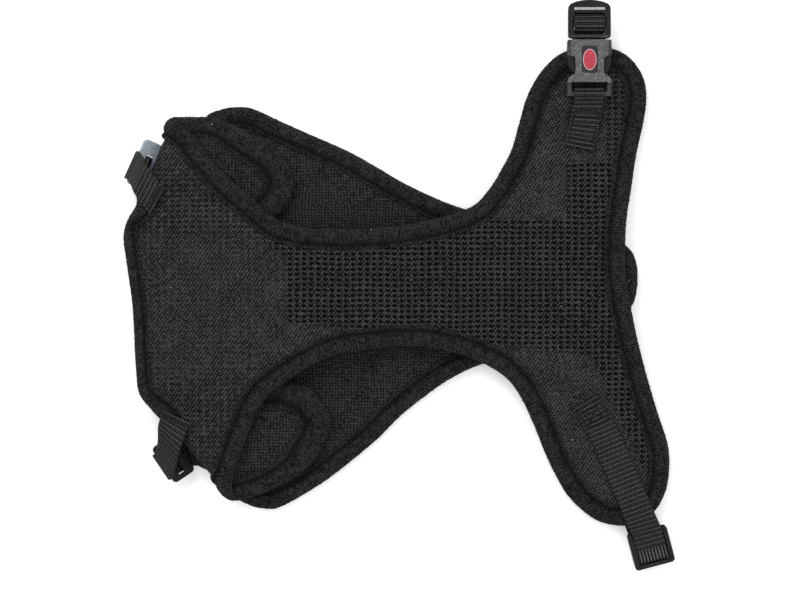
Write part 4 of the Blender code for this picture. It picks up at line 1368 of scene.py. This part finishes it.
def make_socket():
    outline = [(BUCKLE_X + x, y) for x, y in mirrored(SOCKET_HALF)]
    low, high = BUCKLE_LOW, BUCKLE_HIGH
    base = plate_mesh(outline, low, high)
    x = BUCKLE_X
    cavity = round_box((x - 9.6, 103.8), (x + 9.6, 124), 0.3, (low + 1.3, high - 1.5))
    mouth = round_box((x - 13, 108), (x + 13, 124), 0.3, (low + 1.3, high - 1.5))
    legs = round_box((x - 12, 90), (x + 12, 101.0), 0.3, (BAR_Z + 2.2, high + 1))
    recess = round_box((x - 4.0, 105.9), (x + 4.0, 119.3), 1.3, (high - 0.55, high + 1))
    rails = [round_box((min(side * 9.3, side * 13) + x, 113.0),
                       (max(side * 9.3, side * 13) + x, 124), 0.2, (high - 1.0, high + 1))
             for side in (-1, 1)]
    dip = bmesh.new()
    bmesh.ops.create_cone(dip, cap_ends=True, segments=48, radius1=3.4, radius2=4.4, depth=1.2)
    bmesh.ops.translate(dip, vec=(x, 122.6, high + 0.35), verts=dip.verts[:])
    bar = round_box((x - 9.4, BAR_Y - BAR_HALF), (x + 9.4, BAR_Y + BAR_HALF), 0.5,
                    (BAR_Z - BAR_HALF, BAR_Z + BAR_HALF))
    body = carve(base, [cavity, mouth, legs, recess, dip, *rails], [bar])
    soften(body, 0.28)
    moulded("socket_moulding", body, "harness", FACE_PLASTIC,
            ("buckle_socket",))


make_socket()

# %% The badge: a dark bed, an enamel oval and a thin rim
BADGE_Y = 112.5


def oval(half_x, half_y, low, high, segments=64):
    bm = bmesh.new()
    bmesh.ops.create_cone(bm, cap_ends=True, segments=segments, radius1=1, radius2=1, depth=1)
    bmesh.ops.scale(bm, vec=(half_x, half_y, high - low), verts=bm.verts[:])
    bmesh.ops.translate(bm, vec=(BUCKLE_X, BADGE_Y, (low + high) / 2), verts=bm.verts[:])
    return bm


bed = round_box((BUCKLE_X - 3.85, 106.05), (BUCKLE_X + 3.85, 119.15), 1.2,
                (BUCKLE_HIGH - 0.5, BUCKLE_HIGH - 0.25))
soften(bed, 0.08, 2)
moulded("badge_bed", bed, "harness", RECESS, ())
enamel = oval(3.05, 4.95, BUCKLE_HIGH - 0.3, BUCKLE_HIGH + 0.22)
soften(enamel, 0.2)
moulded("badge_enamel", enamel, "harness", ENAMEL, ("buckle_badge",))
rim = carve(oval(3.35, 5.25, BUCKLE_HIGH - 0.3, BUCKLE_HIGH + 0.15),
            [oval(3.06, 4.96, BUCKLE_HIGH - 1, BUCKLE_HIGH + 1)])
soften(rim, 0.06, 2)
moulded("badge_rim", rim, "harness", RIM_METAL, ())

# %% [markdown]
# The plug's ladder lock is a domed frame with two slots. The strap comes up through one,
# goes over the middle bar and down through the other. The prongs are springy arms with a
# hooked shoulder, which fills the socket's windows.

# %% Plug and prongs
PLUG_HALF = [(0.0, 142.5), (3.4, 142.2), (6.6, 141.5), (9.2, 140.5), (10.3, 139.3),
             (10.6, 137.6), (10.6, 124.4), (10.2, 123.7), (9.4, 123.4)]
PRONG_HALF = [(5.8, 123.6), (8.2, 123.6), (8.0, 117.6), (10.4, 115.3), (10.75, 113.5),
              (10.7, 111), (10.1, 108.6), (8.8, 106.7), (7.6, 106), (6.7, 106.3), (6.3, 107.4),
              (6.0, 114)]


def make_plug():
    outline = [(BUCKLE_X + x, y) for x, y in mirrored(PLUG_HALF)]
    low, high = PRONG_Z - 2.1, PRONG_Z + 2.1
    x = BUCKLE_X
    frame_plate = plate_mesh(outline, low, high)
    tongue = round_box((x - 2.6, 104.4), (x + 2.6, 124.4), 0.8, (PRONG_Z - 1.3, PRONG_Z + 1.3))
    slots = [round_box((x - 7.56, 125.4), (x + 7.56, 129.0), 0.3, (low - 1, high + 1)),
             round_box((x - 7.56, 133.2), (x + 7.56, 135.85), 0.3, (low - 1, high + 1))]
    window = round_box((x - 8.2, 128), (x + 8.2, 134), 0.3, (high - 0.5, high + 1))
    body = carve(frame_plate, [*slots, window], [tongue])
    soften(body, 0.4)
    # the ridge is painted light grey: a painted highlight on the plug's top bar
    for name, (near, far, half), finish in (("ridge", (137.3, 138.6, 7.7), RIDGE_HIGHLIGHT),
                                            ("lip", (123.7, 124.6, 9.6), FACE_PLASTIC)):
        bar = round_box((x - half, near), (x + half, far), 0.4, (high - 0.6, high + 0.3))
        soften(bar, 0.2, 2)
        moulded("plug_" + name, bar, "plug", finish, ())
    moulded("plug_moulding", body, "plug", DARK_PLASTIC, ("buckle_plug",))


make_plug()
for side, word in ((-1, "left"), (1, "right")):
    arm = plate_mesh([(BUCKLE_X + side * x, y) for x, y in PRONG_HALF][::side],
                     PRONG_Z - 1.45, PRONG_Z + 1.45)
    soften(arm, 0.3)
    moulded(f"prong_{word}_moulding", arm, f"prong_{word}", DARK_PLASTIC,
            (f"buckle_prong_{word}",))


# %% [markdown]
# The slider is a flat frame with two deep side rails, and the neck adjusters are plain
# frames. They are modelled level and about their own centre, then turned into place, and
# the turn goes into the mesh.

# %% Slider and adjusters
def make_slider():
    bm = round_box((-10.2, -9.6), (10.2, 9.6), 1.8, (-1, 1))
    cuts = [round_box((-7.3, -7.6), (7.3, -5.0), 0.5, (-3, 3)),
            round_box((-7.7, -3.0), (7.7, 7.1), 0.5, (-3, 3))]
    rails = [round_box((min(side * 8.0, side * 10.1), -8.6), (max(side * 8.0, side * 10.1), 8.6),
                       0.8, (-1, 3.6)) for side in (-1, 1)]
    body = carve(bm, cuts, rails)
    soften(body, 0.35)
    place = (Matrix.Translation((*SLIDER_CENTRE, SLIDER_Z))
             @ Matrix.Rotation(SLIDER_TURN, 4, "Z"))
    moulded("slider_moulding", body, "slider", DARK_PLASTIC, ("slider",),
            place)


ADJUSTER_DROP = math.radians(25)


def make_adjuster(word, side, ends, centre, across, finish):
    """A frame on the bar at a tab's loop; ends gives its reach to either side of the loop."""
    bm = round_box((-ends[0], -2.2), (ends[1], 10.6), 2.2, (-1.1, 1.1))
    body = carve(bm, [round_box((-7.9, 2.0), (7.9, 5.6), 0.5, (-3, 3))])
    soften(body, 0.45)
    b = Vector((*across, 0)).normalized() * side
    inward = Vector((-b.y, b.x, 0))
    d = inward * math.cos(ADJUSTER_DROP) - Vector((0, 0, math.sin(ADJUSTER_DROP)))
    turn = Matrix((b, d, b.cross(d))).transposed().to_4x4()
    place = Matrix.Translation((*centre, NECK_BAR_Z)) @ turn
    moulded(f"neck_adjuster_{word}", body, f"adjuster_{word}", finish,
            (f"shoulder_adjuster_{word}",), place)


make_slider()
# the upper adjuster is black plastic painted grey as a painted reflection of the light
make_adjuster("upper", -1, (15.0, 9.2), upper_bar, UPPER_TAB[3], PAINTED_REFLECTION_GREY)
make_adjuster("lower", 1, (10.6, 10.6), lower_bar, LOWER_TAB[3], DARK_PLASTIC)

# %% [markdown]
# ## Leash ring
#
# The ring is a bent steel wire in a D shape. It is a round section wound along the D's line,
# tilted as it lies, with its bar under the girth strap's arch.

# %% The ring
RING_INNER, RING_REACH = 8.9, 15.0


def make_ring():
    radius = RING_INNER + RING_WIRE
    points = [(-radius, 1.6), (-radius, 5.0)]
    points += [(-radius * math.cos(a), 5.0 + (RING_REACH - 5.0) * math.sin(a))
               for a in (math.pi * k / 12 for k in range(1, 12))]
    points += [(radius, 5.0), (radius, 1.6), (radius - 0.35, 0.35), (radius - 1.6, 0),
               (0, 0), (-radius + 1.6, 0), (-radius + 0.35, 0.35)]
    tilt = math.atan2(RING_Z - RING_WIRE - 0.15, RING_REACH)
    line, length = evenly(curve_through(points, True), 0.6, True)
    normals = inward_normals(line, 1)
    sides = 20

    def station(i, k):
        angle = math.tau * i / sides
        x, y = line[k] + normals[k] * (RING_WIRE * math.cos(angle))
        return Vector((x, y, RING_WIRE * math.sin(angle)))

    bm = wound(sides, len(line), station, (math.tau * RING_WIRE, length), True)
    bm.transform(Matrix.Translation((95, RING_Y, RING_Z)) @ Matrix.Rotation(-tilt, 4, "X"))
    finished("leash_ring_wire", bm, "ring", STEEL, ("leash_ring",))
    print(f"ring wire {length:.0f} mm")


make_ring()

# %% [markdown]
# ## Studio
#
# The harness lies on a white table, seen from straight above with a long lens, so that
# nothing is foreshortened. Large soft lights leave almost no shadow. A slightly stronger
# light from the top left gives the ribs and rounded edges their shape.

# %% Table, lights and camera
TABLE = 6.0           # metres
table_mesh = bmesh.new()
bmesh.ops.create_grid(table_mesh, x_segments=1, y_segments=1, size=TABLE)
bmesh.ops.translate(table_mesh, vec=(0, 0, -0.0002), verts=table_mesh.verts[:])
table = new_object("table", table_mesh)
white = blank_finish("white table", Roughness=0.9, Specular_IOR_Level=0.1,
                     Base_Color=(0.95, 0.95, 0.95), Emission_Color=(1, 1, 1),
                     Emission_Strength=0.25)
bpy.context.scene.view_settings.view_transform = "Standard"
table.data.materials.append(white)

world = bpy.data.worlds.new("studio")
bpy.context.scene.world = world
world.use_nodes = True
for title, value in (("Color", (1, 1, 1, 1)), ("Strength", 0.85)):
    world.node_tree.nodes["Background"].inputs[title].default_value = value


def soft_light(name, place, size, watts):
    """A square lamp that aims at the middle of the harness."""
    lamp = bpy.data.lights.new(name, "AREA")
    lamp.size, lamp.energy = size, watts
    obj = put_in_scene(name, lamp)
    obj.location = place
    obj.rotation_euler = (-Vector(place)).to_track_quat("-Z", "Y").to_euler()


soft_light("key", (-0.5, 0.75, 1.1), 0.7, 9)
soft_light("fill", (0.9, -0.5, 1.0), 0.9, 4)

EVEN_Z = 9.0         # a point at this height is seen at the true scale
camera = bpy.data.cameras.new("camera")
camera.lens, camera.sensor_width = 108, 36
camera.clip_start, camera.clip_end = 0.05, 20
viewer = put_in_scene("camera", camera)
viewer.location = (0, -0.007, 1.2 + EVEN_Z * MM)
bpy.context.scene.camera = viewer
print("camera looks straight down from", viewer.location.z)
